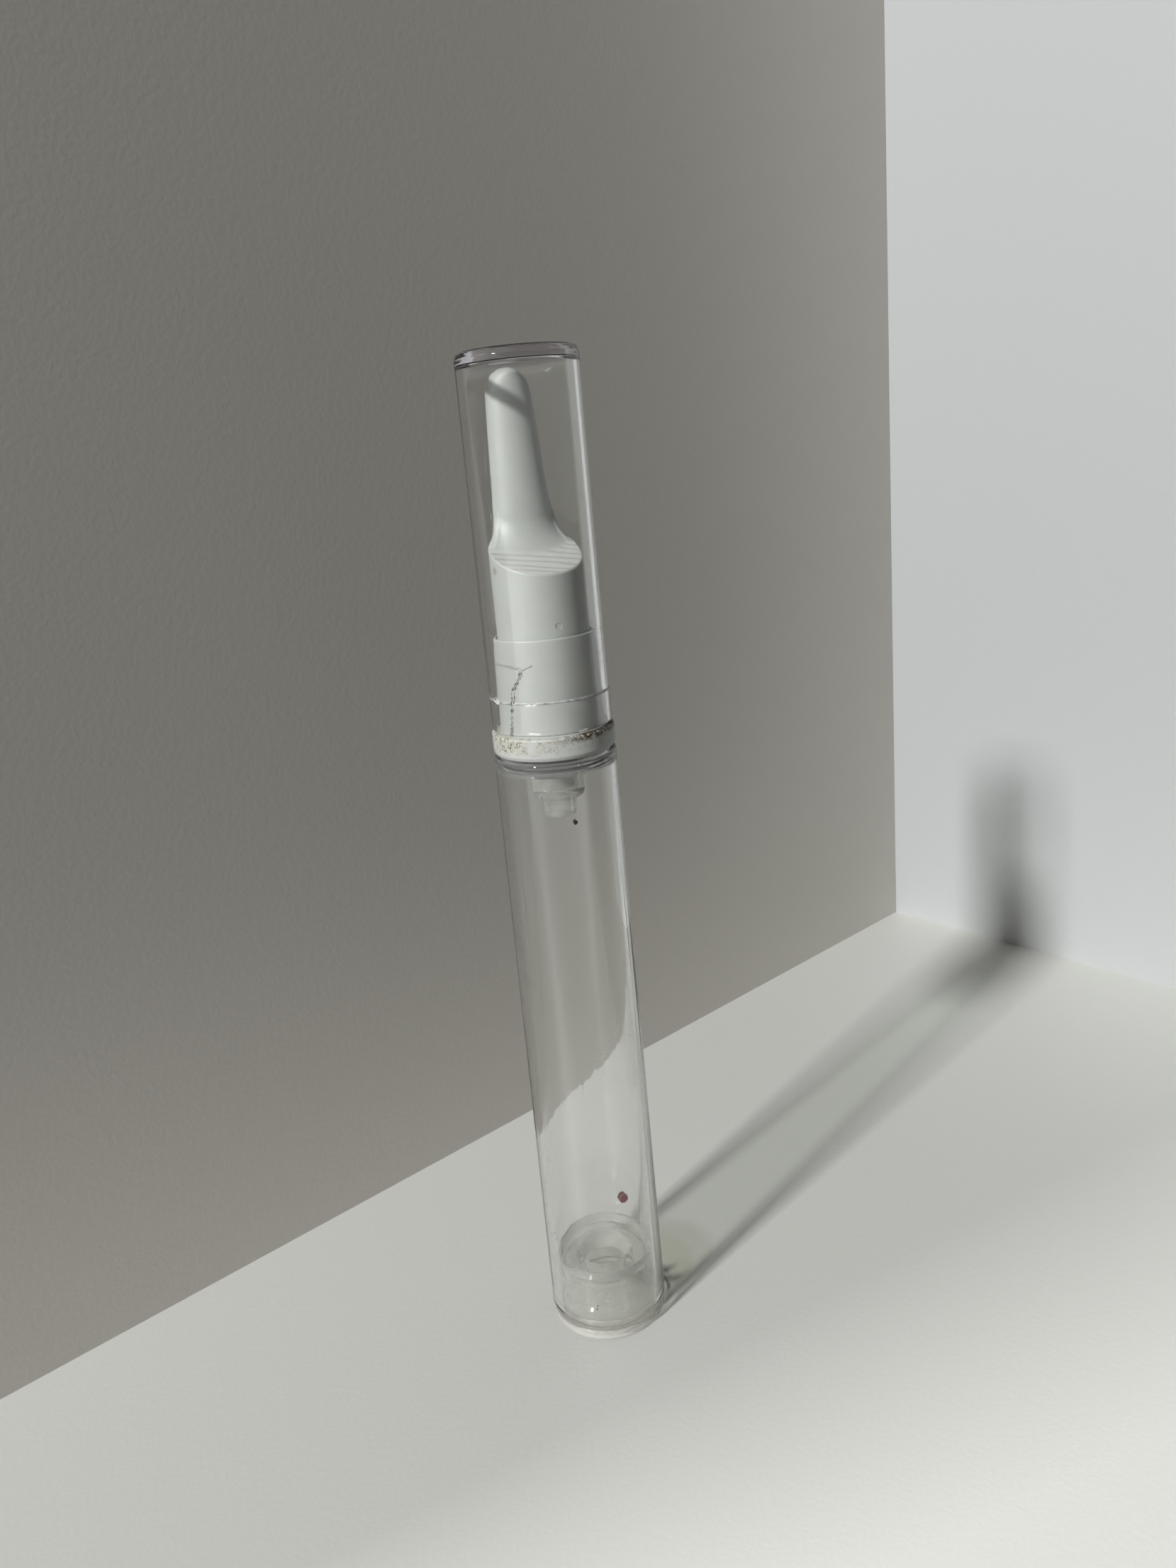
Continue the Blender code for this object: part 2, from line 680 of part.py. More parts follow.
def ledge(azimuth):
    """How far the blade's foot stands back from the shank's wall, from 0 where it is flush to 1."""
    corner = Vector((math.cos(azimuth), math.sin(azimuth))) * SHANK_TOP_RADIUS
    run = (blade_section(0, 1, 1, blade_angle(azimuth)) - corner).length
    return min(1.0, run / LEDGE_FADE)


def rim_point(azimuth, share):
    """A point of the cut's rounded edge, from the shank's wall to the cut's face."""
    direction = Vector((math.cos(azimuth), math.sin(azimuth)))
    corner = direction * SHANK_TOP_RADIUS
    rounding = RIM_ROUND * ledge(azimuth)**2
    inside = direction * (SHANK_TOP_RADIUS - rounding)
    start = Vector((*corner, cut_height(corner.y) - rounding))
    middle = Vector((*corner, cut_height(corner.y)))
    end = Vector((*inside, cut_height(inside.y)))
    return start.lerp(middle, share).lerp(middle.lerp(end, share), share)


def flare_point(azimuth, share):
    """A point between the cut's face and the blade: a fillet, which runs out straight at the flush sides."""
    outer = rim_point(azimuth, 1).xy
    inner = blade_section(0, 1, 1, blade_angle(azimuth))
    run = inner - outer
    width = ledge(azimuth)
    turn = math.pi / 2 * share
    reach = between(run.length, min(FILLET_REACH, FILLET_SHARE * run.length), width)
    inward = between(1 - share, 1 - math.sin(turn), width)
    upward = between(share, 1 - math.cos(turn), width)
    point = inner - run.normalized() * reach * inward
    return Vector((*point, cut_height(point.y) + FILLET_HEIGHT * upward))


def blade_share(height):
    """How far up the blade a height is, from 0 at its lowest level section to 1 at its tip."""
    start = cut_height(BLADE_BASE_OFFSET - BLADE_BASE_FRONT_DEPTH) + FILLET_HEIGHT
    return max(0.0, (height - start) / (HEAD_LENGTH - start))


def blade_point(azimuth, share, foot):
    """A point of the blade above the fillet, up to where its tip starts to round."""
    height = between(foot.z, HEAD_LENGTH - BLADE_TIP_ROUND, share)
    return Vector((*blade_section(blade_share(height), 1, 1, blade_angle(azimuth)), height))


def tip_point(azimuth, turn):
    """A point of the rounded tip, which also thins from front to back near its end."""
    height = HEAD_LENGTH - BLADE_TIP_ROUND * (1 - math.sin(turn))
    above_edge = max(0.0, height - (HEAD_LENGTH - BLADE_EDGE_ROUND)) / BLADE_EDGE_ROUND
    thinning = math.sqrt(max(0.0, 1 - TIP_THINNING * above_edge**2))
    section = blade_section(blade_share(height), math.cos(turn), thinning, blade_angle(azimuth))
    return Vector((*section, height))


def head_rings():
    """The rings of the head's outside, from the shank's lower edge to the tip."""
    azimuths = [math.tau * index / HEAD_SEGMENTS for index in range(HEAD_SEGMENTS)]
    shank_foot = [
        Vector((SHANK_RADIUS * math.cos(azimuth), SHANK_RADIUS * math.sin(azimuth), 0))
        for azimuth in azimuths
    ]
    rings = [shank_foot]
    for step in range(RIM_STEPS + 1):
        rings.append([rim_point(azimuth, step / RIM_STEPS) for azimuth in azimuths])
    for step in range(FLARE_STEPS + 1):
        rings.append([flare_point(azimuth, step / FLARE_STEPS) for azimuth in azimuths])
    flare_top = rings[-1]
    for step in range(1, BLADE_STEPS + 1):
        share = step / BLADE_STEPS
        rings.append([blade_point(azimuth, share, foot) for azimuth, foot in zip(azimuths, flare_top)])
    for step in range(1, TIP_STEPS + 1):
        turn = math.pi / 2 * step / (TIP_STEPS + TIP_FLAT)
        rings.append([tip_point(azimuth, turn) for azimuth in azimuths])
    return rings


def lofted_mesh(name, rings):
    """Bridges each ring to the next and closes both ends."""
    builder = bmesh.new()
    loops = [[builder.verts.new(point) for point in ring] for ring in rings]
    for lower, upper in zip(loops, loops[1:]):
        for index in range(len(lower)):
            after = (index + 1) % len(lower)
            builder.faces.new((lower[index], lower[after], upper[after], upper[index]))
    builder.faces.new(reversed(loops[0]))
    builder.faces.new(loops[-1])
    return mesh_from(name, builder)


def bent_tube(name, path, radius, segments):
    """A tube along a path in the YZ plane, with a mitre at each bend."""
    rings = []
    for index, point in enumerate(path):
        before = point - path[index - 1] if index else path[1] - point
        after = path[index + 1] - point if index + 1 < len(path) else before
        half_bend = before.angle(after) / 2
        along = (before.normalized() + after.normalized()).normalized()
        across = along.cross(Vector((1, 0, 0))) / math.cos(half_bend)
        angles = [math.tau * step / segments for step in range(segments)]
        rings.append([
            point + Vector((radius * math.cos(angle), 0, 0)) + across * radius * math.sin(angle)
            for angle in angles
        ])
    return lofted_mesh(name, rings)


def make_applicator_head(carrier):
    head = place(
        "applicator_head",
        lofted_mesh("applicator_head", head_rings()),
        WHITE_PLASTIC,
        SHANK_BOTTOM,
        carrier,
    )
    socket_bottom = SOCKET_BOTTOM - SHANK_BOTTOM
    socket_end = SOCKET_END - SHANK_BOTTOM
    socket_bore = STEM_RADIUS + GAP
    cavity_radius = SHANK_RADIUS - SHANK_WALL
    below = -SHANK_WALL
    cavity = [
        (0, below),
        (cavity_radius, below),
        (cavity_radius, SHANK_CAVITY_HEIGHT, 0.0006),
        (SOCKET_RADIUS, SHANK_CAVITY_HEIGHT),
        (SOCKET_RADIUS, socket_bottom),
        (socket_bore, socket_bottom),
        (socket_bore, socket_end),
        (0, socket_end),
    ]
    cut(head, cutter("head_cavity", turned_mesh("head_cavity", cavity, 0, SMALL_SEGMENTS), head))
    blade_start = cut_height(BLADE_BASE_OFFSET)
    outlet = HEAD_LENGTH - OUTLET_BELOW_TIP
    elbow = Vector((0, BLADE_BASE_OFFSET, blade_start))
    along = (outlet - blade_start) / (HEAD_LENGTH - blade_start)
    top_offset = between(BLADE_BASE_OFFSET, BLADE_TIP_OFFSET, along)
    start = Vector((0, 0, socket_end - CHANNEL_RADIUS))
    end = Vector((0, top_offset, outlet))
    behind = end + Vector((0, SHANK_TOP_RADIUS, 0))
    channel = bent_tube("channel", [start, elbow, end, behind], CHANNEL_RADIUS, SMALL_SEGMENTS // 2)
    cut(head, cutter("head_channel", channel, head))


def make_overcap():
    inner_top = CAP_TOP_RADIUS - CAP_WALL
    ceiling = CAP_TOP - CAP_TOP_THICKNESS
    bead_radius = COLLAR_FOOT_RADIUS + SNAP_CLEARANCE
    bead_bottom = FLANGE_TOP + COLLAR_RING_ABOVE_FLANGE
    bead_top = bead_bottom + CAP_BEAD_WIDTH
    mouth_inner = CAP_MOUTH_RADIUS - CAP_MOUTH_WALL
    turned(
        "overcap",
        [
            (0, CAP_TOP),
            (CAP_TOP_RADIUS, CAP_TOP, CAP_TOP_ROUND),
            (CAP_MOUTH_RADIUS, CAP_BOTTOM, 0.0002),
            (mouth_inner, CAP_BOTTOM),
            (mouth_inner, bead_bottom - CAP_MOUTH_CHAMFER),
            (bead_radius, bead_bottom),
            (bead_radius, bead_top),
            (bead_radius + CAP_BEAD_DEPTH, bead_top + CAP_BEAD_DEPTH),
            (inner_top, ceiling, 0.0006),
            (0, ceiling),
        ],
        CLEAR_PLASTIC,
        CAP_BOTTOM,
        carrier=pivot("overcap_lift", CAP_BOTTOM),
    )


def build():
    clear_scene()
    make_base_plug()
    make_bottle_body()
    make_follower_piston()
    make_collar()
    make_gasket()
    make_pump_housing()
    make_stem_guide()
    make_inlet_valve()
    press = pivot("head_press", SHANK_BOTTOM)
    make_stem_and_rod(press)
    make_piston_seal()
    make_return_spring()
    make_applicator_head(pivot("head_turn", SHANK_BOTTOM, HEAD_TURN))
    make_overcap()


build()
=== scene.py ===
"""Looks of a slim clear airless pump bottle with a white spatula head under a clear overcap.

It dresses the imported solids, with no size of the bottle changed: fine round surfaces, moulded plastic, wear and dust,
and a plain pale corner with two small lamps.
"""

import math

import bmesh
import bpy
from mathutils import Matrix, Vector


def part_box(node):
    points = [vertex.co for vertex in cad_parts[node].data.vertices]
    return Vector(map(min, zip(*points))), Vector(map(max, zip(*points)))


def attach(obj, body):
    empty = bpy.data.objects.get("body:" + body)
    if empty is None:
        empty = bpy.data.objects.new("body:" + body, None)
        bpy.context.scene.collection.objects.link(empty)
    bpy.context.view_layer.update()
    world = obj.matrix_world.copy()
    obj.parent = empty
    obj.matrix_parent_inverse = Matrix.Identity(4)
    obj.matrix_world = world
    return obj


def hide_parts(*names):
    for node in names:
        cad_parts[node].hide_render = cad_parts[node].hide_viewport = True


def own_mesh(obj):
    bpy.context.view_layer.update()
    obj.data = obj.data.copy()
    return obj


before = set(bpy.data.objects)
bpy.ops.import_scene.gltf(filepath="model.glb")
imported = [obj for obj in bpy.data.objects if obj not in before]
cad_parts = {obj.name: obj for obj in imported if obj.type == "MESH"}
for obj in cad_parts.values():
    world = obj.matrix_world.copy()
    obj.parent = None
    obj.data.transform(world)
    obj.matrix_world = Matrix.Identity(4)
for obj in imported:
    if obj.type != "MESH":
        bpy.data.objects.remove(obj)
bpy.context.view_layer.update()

bl_info = {
    "name": "Airless pump bottle",
    "version": (1, 0, 0),
    "blender": (4, 5, 0),
    "location": "View3D > Sidebar > Bottle",
    "description": "Dresses the solids of an airless pump bottle and stands it in a plain pale corner",
    "category": "Object",
}

TOLERANCE = 1e-6

# Places that the finishes line up with, read from the solids or measured up from them
FLANGE_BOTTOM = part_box("collar")[0].z
HEAD_BOTTOM, HEAD_TOP = (corner.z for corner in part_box("applicator_head"))
CAP_BOTTOM, CAP_TOP = (corner.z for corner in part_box("overcap"))
SPRING_BOTTOM, SPRING_TOP = (corner.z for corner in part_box("return_spring"))
BODY_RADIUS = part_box("bottle_body")[1].x
CAP_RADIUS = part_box("overcap")[1].x
CAP_BEAD = CAP_BOTTOM + 0.0046
CAP_BEAD_TOP = CAP_BOTTOM + 0.00507
CAP_BEAD_STEP = 0.0002
CAP_WALL_FACE = CAP_RADIUS - 0.0004
FLANGE_RADIUS = 0.00868
FLANGE_HEIGHT = 0.00335

# The head's form, as in its solid
HEAD_TURN = math.radians(18)
SHANK_RADIUS = 0.00642
SHANK_TOP_RADIUS = 0.00633
SHANK_WALL = 0.0011
SHANK_FRONT_HEIGHT = 0.0115
CUT_SLOPE = 0.45
BLADE_HALF_WIDTHS = (0.0043, 0.00305)
BLADE_OFFSETS = (0.0045, 0.0059)
BLADE_FRONT_DEPTHS = (0.0031, 0.0027)
BLADE_BACK_DEPTHS = (0.0018, 0.0009)
TIP_ROUND = 0.0031
TIP_EDGE_ROUND = 0.0009
TIP_THINNING = 0.9
RIM_ROUND = 0.0003
RIM_RINGS = 6
FLARE_RINGS = 16
BLADE_RINGS = 12
TIP_RINGS = 20
TIP_LEFT_OPEN = 0.3
LEDGE_FADE = 0.0042
FILLET_REACH = 0.0032
FILLET_SHARE = 0.9
FILLET_HEIGHT = 0.0038
CAVITY_HEIGHT = 0.0097
SOCKET_BOTTOM = SPRING_TOP + 0.0003
SOCKET_RADIUS = 0.0029
SOCKET_BORE_RADIUS = 0.0019
SOCKET_DEPTH = 0.0059
OUTLET_BELOW_TIP = 0.0037
OUTLET_RADIUS = 0.0006
LEG_OVERLAP = 0.0001

# The return spring
WIRE_RADIUS = 0.00025
COIL_RADIUS = 0.0024
SPRING_TURNS = 6.5

# The corner, its boards, the lamps' directions and the camera, which fit the photograph
CORNER = Vector((0.0930, 0.1433, 0))
ALONG_LEFT = Vector((-0.78465, -0.61994, 0))
ALONG_RIGHT = Vector((0.61994, -0.78465, 0))
LEFT_BOARD_WIDTH = 0.5
RIGHT_BOARD_WIDTH = 0.15
BOARD_HEIGHT = 0.4
FLOOR_WIDTH = 4
TO_FRONT_LAMP = Vector((-0.593, -0.595, 0.542))
TO_SIDE_LAMP = Vector((-0.775, -0.345, 0.530))
DIMMED_FROM_TO = (0.07, 0.13)
CAMERA_PLACE = Vector((0, -0.15895, 0.13573))
CAMERA_RIGHT = Vector((0.99480, -0.05199, -0.08756))
CAMERA_UP = Vector((0.09861, 0.27724, 0.95573))
CAMERA_LENS = 26.365

# Marks on the unrolled walls: arc from the front and height, in millimetres
BARREL_DROP = (3.8, 25.4)
BARREL_SPECKS = (((1.9, 86.3), 0.32), ((-2.2, 6.2), 0.16), ((-9.9, 17.3), 0.16))
SHOULDER_HEIGHT = 93.4
CRACK_TOP = ((-8.4, 108.7), (-5.8, 108.4), (-3.9, 108.0))
CRACK_BRANCH = ((-3.6, 107.9), (-2.1, 108.5))
CRACK_DOWN = ((-3.9, 108.0), (-4.0, 107.1), (-5.4, 105.2), (-5.9, 102.2), (-6.4, 98.7))
CRACK_SIDE = ((10.9, 98.8), (11.6, 104.0), (11.2, 112.5))
# Painted highlights: short white dashes on the overcap's bead ring and mouth; the last, at the ring's left end, is a
# bright chip
PAINTED_CAP_GLINTS = (
    ((-3.5, 103.15), (-2.9, 103.15)), ((-2.5, 103.15), (-2.2, 103.15)), ((-3.4, 99.25), (-1.9, 99.15)),
    ((3.8, 98.9), (4.9, 99.05)), ((-9.8, 103.7), (-8.7, 103.1)),
)
SHANK_DIMPLE = (2.1, 113.2)
SHANK_SCUFF = (-6.9, 120.9)

# Colours of the marks
CLEAR_DUST = (0.20, 0.18, 0.15)
DRIED_DROP = (0.22, 0.085, 0.09)
DARK_SPECK = (0.03, 0.028, 0.025)
SHOULDER_TINT = (0.94, 0.94, 0.945)
FOOT_FILM = (0.82, 0.74, 0.60)
# Painted reflection: the pale sheen on the foot's ring
FOOT_PAINTED_SHEEN = (0.97, 0.96, 0.93)
CAP_TOP_TINT = (0.74, 0.71, 0.755)
# Dark of the dirt in the cracks, and of the painted shade along the overcap's mouth
CRACK_DIRT_AND_SHADE = (0.06, 0.05, 0.04)
# White of the painted glints and of the one chip
GLINT_AND_CHIP_WHITE = (0.95, 0.95, 0.93)
SMUDGE = (0.56, 0.55, 0.51)
WHITE_DUST = (0.30, 0.27, 0.22)
FLANGE_FILM = (0.56, 0.53, 0.36)
# Painted light: the paler white of the head's slanted, upward face
CUT_FACE_PAINTED_LIGHT = (0.80, 0.82, 0.79)
CUT_LINES = (0.60, 0.595, 0.55)
SCUFF = (0.38, 0.35, 0.30)
LAMP_BLOCKED = (0.12, 0.12, 0.12)
FOOT_EDGE_PASS = (0.88, 0.88, 0.87)


class BottleFinishes(bpy.types.PropertyGroup):
    """Colours and wear that a user of the bottle would change."""

    white: bpy.props.FloatVectorProperty(
        name="White plastic", description="Colour of the collar and the head",
        default=(0.62, 0.64, 0.615), subtype="COLOR", min=0, max=1,
    )
    clear: bpy.props.FloatVectorProperty(
        name="Clear plastic", description="Tint of the body, the foot and the overcap",
        default=(0.97, 0.975, 0.965), subtype="COLOR", min=0, max=1,
    )
    milky: bpy.props.FloatVectorProperty(
        name="Milky plastic", description="Colour of the pump's housing",
        default=(0.86, 0.865, 0.84), subtype="COLOR", min=0, max=1,
    )
    soft: bpy.props.FloatVectorProperty(
        name="Soft plastic", description="Colour of the follower piston and the seals",
        default=(0.86, 0.86, 0.835), subtype="COLOR", min=0, max=1,
    )
    wire: bpy.props.FloatVectorProperty(
        name="Spring wire", description="Colour of the return spring",
        default=(0.62, 0.62, 0.60), subtype="COLOR", min=0, max=1,
    )
    dirt: bpy.props.FloatVectorProperty(
        name="Dried residue", description="Colour of the brown specks on the flange",
        default=(0.085, 0.055, 0.03), subtype="COLOR", min=0, max=1,
    )
    haze: bpy.props.FloatProperty(
        name="Haze", description="Share of light that the clear plastic scatters at each face",
        default=0.005, min=0, max=1, subtype="FACTOR",
    )
    lamp_pass: bpy.props.FloatVectorProperty(
        name="Lamp through a wall", description="Share of a lamp's light that crosses a clear face squarely",
        default=(0.93, 0.935, 0.93), subtype="COLOR", min=0, max=1,
    )
    edge_pass: bpy.props.FloatVectorProperty(
        name="Lamp through an edge", description="Share of a lamp's light that crosses a clear face at a slant",
        default=(0.40, 0.395, 0.39), subtype="COLOR", min=0, max=1,
    )
    wear: bpy.props.FloatProperty(
        name="Wear", description="How scuffed and dusty the plastic is",
        default=1.0, min=0, max=2, subtype="FACTOR",
    )
    # Also shows the painted shade along the mouth and the painted glints
    cracked: bpy.props.BoolProperty(
        name="Cracked overcap", description="Shows the cracks at the overcap's mouth", default=True,
    )


class BottleDetail(bpy.types.PropertyGroup):
    """How finely the round pieces are drawn."""

    clear_steps: bpy.props.IntProperty(
        name="Steps of clear pieces", description="Faces round the body, the foot and the overcap",
        default=224, min=48, max=512,
    )
    steps: bpy.props.IntProperty(
        name="Steps of other pieces", description="Faces round the collar and the inner pieces",
        default=144, min=32, max=512,
    )
    edge_round: bpy.props.FloatProperty(
        name="Edge rounding", description="How far a moulded edge is rounded",
        default=0.00012, min=0, max=0.001, precision=5, unit="LENGTH",
    )


class StageSettings(bpy.types.PropertyGroup):
    """The corner and the lamps."""

    floor: bpy.props.FloatVectorProperty(
        name="Floor", description="Colour of the floor", default=(0.78, 0.785, 0.74), subtype="COLOR", min=0, max=1,
    )
    right_board: bpy.props.FloatVectorProperty(
        name="Right board", description="Colour of the board on the right",
        default=(0.61, 0.625, 0.625), subtype="COLOR", min=0, max=1,
    )
    left_board: bpy.props.FloatVectorProperty(
        name="Left board", description="Colour of the board on the left, which stands away from the lamps",
        default=(0.66, 0.635, 0.58), subtype="COLOR", min=0, max=1,
    )
    bounce: bpy.props.FloatProperty(
        name="Bounce", description="Share of their light that the floor and the boards throw back on the bottle",
        default=0.25, min=0, max=1, subtype="FACTOR",
    )
    lamp_level: bpy.props.FloatProperty(
        name="Lamp level", description="Light on a surface that faces the lamp, where 1 shows colours as written",
        default=1.76, min=0, max=3,
    )
    fill_level: bpy.props.FloatProperty(
        name="Fill level", description="Light from all round", default=0.04, min=0, max=3,
    )
    backdrop: bpy.props.FloatProperty(
        name="Backdrop", description="Brightness of what is behind the boards, for the camera and through clear walls",
        default=0.55, min=0, max=1,
    )
    mirrored: bpy.props.FloatProperty(
        name="Mirrored backdrop", description="Share of the backdrop that reflections show",
        default=0.15, min=0, max=1, subtype="FACTOR",
    )
    front_share: bpy.props.FloatProperty(
        name="Front lamp's share", description="Share of the light that the lamp in front gives",
        default=0.6, min=0, max=1, subtype="FACTOR",
    )
    lamp_distance: bpy.props.FloatProperty(
        name="Lamp distance", description="From the bottle to each lamp", default=1.8, min=0.2, max=5, unit="LENGTH",
    )
    lamp_side: bpy.props.FloatProperty(
        name="Lamp size", description="Side of each square lamp", default=0.14, min=0.02, max=2, unit="LENGTH",
    )


def finishes():
    return bpy.context.scene.bottle_finishes


def detail():
    return bpy.context.scene.bottle_detail


# Nodes of the finishes


def new_finish(name):
    """An empty material: its tree, its Principled shader and its output."""
    material = bpy.data.materials.new(name)
    material.use_nodes = True
    tree = material.node_tree
    return material, tree, tree.nodes["Principled BSDF"], tree.nodes["Material Output"]


def set_inputs(tree, node, inputs):
    """Sets each input of a node to a value, or wires it to a socket."""
    for key, value in inputs.items():
        if isinstance(value, bpy.types.NodeSocket):
            tree.links.new(value, node.inputs[key])
        else:
            node.inputs[key].default_value = value


def add_node(tree, kind, inputs=(), **settings):
    """A node with its settings and its inputs."""
    made = tree.nodes.new(kind)
    for key, value in settings.items():
        setattr(made, key, value)
    set_inputs(tree, made, dict(inputs))
    return made


def maths(tree, operation, first, second=0.0, clamp=False):
    made = add_node(tree, "ShaderNodeMath", {0: first, 1: second}, operation=operation, use_clamp=clamp)
    return made.outputs[0]


def plus(tree, first, second, clamp=False):
    return maths(tree, "ADD", first, second, clamp=clamp)


def times(tree, first, second, clamp=False):
    return maths(tree, "MULTIPLY", first, second, clamp=clamp)


def larger(tree, first, second):
    return maths(tree, "MAXIMUM", first, second)


def vector_maths(tree, operation, first, second=(0, 0, 0)):
    """A step on vectors: a number where the step gives one, otherwise a vector."""
    made = add_node(tree, "ShaderNodeVectorMath", {0: first, 1: second}, operation=operation)
    return made.outputs["Value" if operation in ("DISTANCE", "LENGTH", "DOT_PRODUCT") else "Vector"]


def coordinate(tree, vector, axis):
    return add_node(tree, "ShaderNodeSeparateXYZ", {0: vector}).outputs[axis]


def mixed(tree, share, first, second):
    """Two colours mixed by a share, each a colour or a socket."""
    ends = [end if isinstance(end, bpy.types.NodeSocket) else (*end, 1.0) for end in (first, second)]
    made = add_node(tree, "ShaderNodeMix", {"Factor": share}, data_type="RGBA")
    set_inputs(tree, made, {6: ends[0], 7: ends[1]})
    return made.outputs[2]


def scaled(colour, share):
    return [share * part for part in colour]


def ramped(tree, value, low, high, start=0.0, end=1.0):
    """A value stretched from low..high to start..end and held there."""
    inputs = {"Value": value, "From Min": low, "From Max": high, "To Min": start, "To Max": end}
    return add_node(tree, "ShaderNodeMapRange", inputs).outputs[0]


def place_on_piece(tree, stretch=(1, 1, 1)):
    """The point on the piece in millimetres, stretched along its axes."""
    here = add_node(tree, "ShaderNodeTexCoord").outputs["Object"]
    scale = [1000 * share for share in stretch]
    return add_node(tree, "ShaderNodeMapping", {"Vector": here, "Scale": scale}).outputs[0]


def noise(tree, where, scale, fine=2.0, rough=0.5):
    inputs = {"Vector": where, "Scale": scale, "Detail": fine, "Roughness": rough}
    return add_node(tree, "ShaderNodeTexNoise", inputs).outputs["Fac"]


def specks(tree, where, scale, size, share):
    """Scattered specks: 1 inside one, 0 outside. Only a share of the cells has one."""
    cells = add_node(tree, "ShaderNodeTexVoronoi", {"Vector": where, "Scale": scale}, feature="F1")
    wobble = noise(tree, where, scale * 3.0, fine=3.0)
    near = plus(tree, cells.outputs["Distance"], times(tree, wobble, size))
    inside = ramped(tree, near, size * 1.2, size * 1.6, 1.0, 0.0)
    chosen = add_node(tree, "ShaderNodeSeparateColor", {"Color": cells.outputs["Color"]}).outputs[0]
    return times(tree, inside, maths(tree, "LESS_THAN", chosen, share))


def round_the_side(tree, radius, jitter=0.0, grain=1.5):
    """The place on an unrolled wall of this radius in metres: arc from the front, and height, in millimetres."""
    here = add_node(tree, "ShaderNodeTexCoord").outputs["Object"]
    x, y, z = (coordinate(tree, here, axis) for axis in range(3))
    arc = times(tree, maths(tree, "ARCTAN2", x, times(tree, y, -1.0)), 1000 * radius)
    height = times(tree, z, 1000.0)
    place = add_node(tree, "ShaderNodeCombineXYZ", {0: arc, 1: height}).outputs[0]
    if not jitter:
        return place
    wander = add_node(tree, "ShaderNodeTexNoise", {"Vector": place, "Scale": grain, "Detail": 2.0}).outputs["Color"]
    flat = vector_maths(tree, "MULTIPLY", vector_maths(tree, "SUBTRACT", wander, (0.5, 0.5, 0.5)), (jitter, jitter, 0))
    return vector_maths(tree, "ADD", place, flat)


def off_line(tree, place, points):
    """How far a place on the unrolled wall is from a line through the points, in millimetres."""
    nearest = None
    for first, last in zip(points, points[1:]):
        run = (last[0] - first[0], last[1] - first[1], 0)
        from_first = vector_maths(tree, "SUBTRACT", place, (*first, 0))
        along = vector_maths(tree, "DOT_PRODUCT", from_first, run)
        share = maths(tree, "DIVIDE", along, run[0]**2 + run[1]**2, clamp=True)
        foot = add_node(tree, "ShaderNodeVectorMath", {0: run, "Scale": share}, operation="SCALE").outputs[0]
        away = vector_maths(tree, "DISTANCE", from_first, foot)
        nearest = away if nearest is None else maths(tree, "MINIMUM", nearest, away)
    return nearest


def spot(tree, place, centre, radius):
    """1 inside a ragged spot on the unrolled wall, 0 outside."""
    away = vector_maths(tree, "DISTANCE", place, (*centre, 0))
    return ramped(tree, away, 0.8 * radius, radius, 1.0, 0.0)


def bumped(tree, shader, height, distance, strength=1.0):
    bump = add_node(tree, "ShaderNodeBump", {"Height": height, "Distance": distance, "Strength": strength})
    set_inputs(tree, shader, {"Normal": bump.outputs[0]})


def lamp_through(tree, shader, output, pass_colour, edge_colour, blocked=0.0):
    """Lets a lamp's light through clear walls to what stands inside, less where it meets them at a slant."""
    path = add_node(tree, "ShaderNodeLightPath").outputs
    slant = add_node(tree, "ShaderNodeLayerWeight", {"Blend": 0.5}).outputs["Facing"]
    colour = mixed(tree, ramped(tree, slant, 0.45, 0.90), pass_colour, edge_colour)
    colour = mixed(tree, blocked, colour, LAMP_BLOCKED)
    open_air = add_node(tree, "ShaderNodeBsdfTransparent", {"Color": colour}).outputs[0]
    bounced = add_node(tree, "ShaderNodeMixShader", {0: path["Is Diffuse Ray"], 1: shader.outputs[0], 2: open_air})
    both = add_node(tree, "ShaderNodeMixShader", {0: path["Is Shadow Ray"], 1: bounced.outputs[0], 2: open_air})
    tree.links.new(both.outputs[0], output.inputs["Surface"])


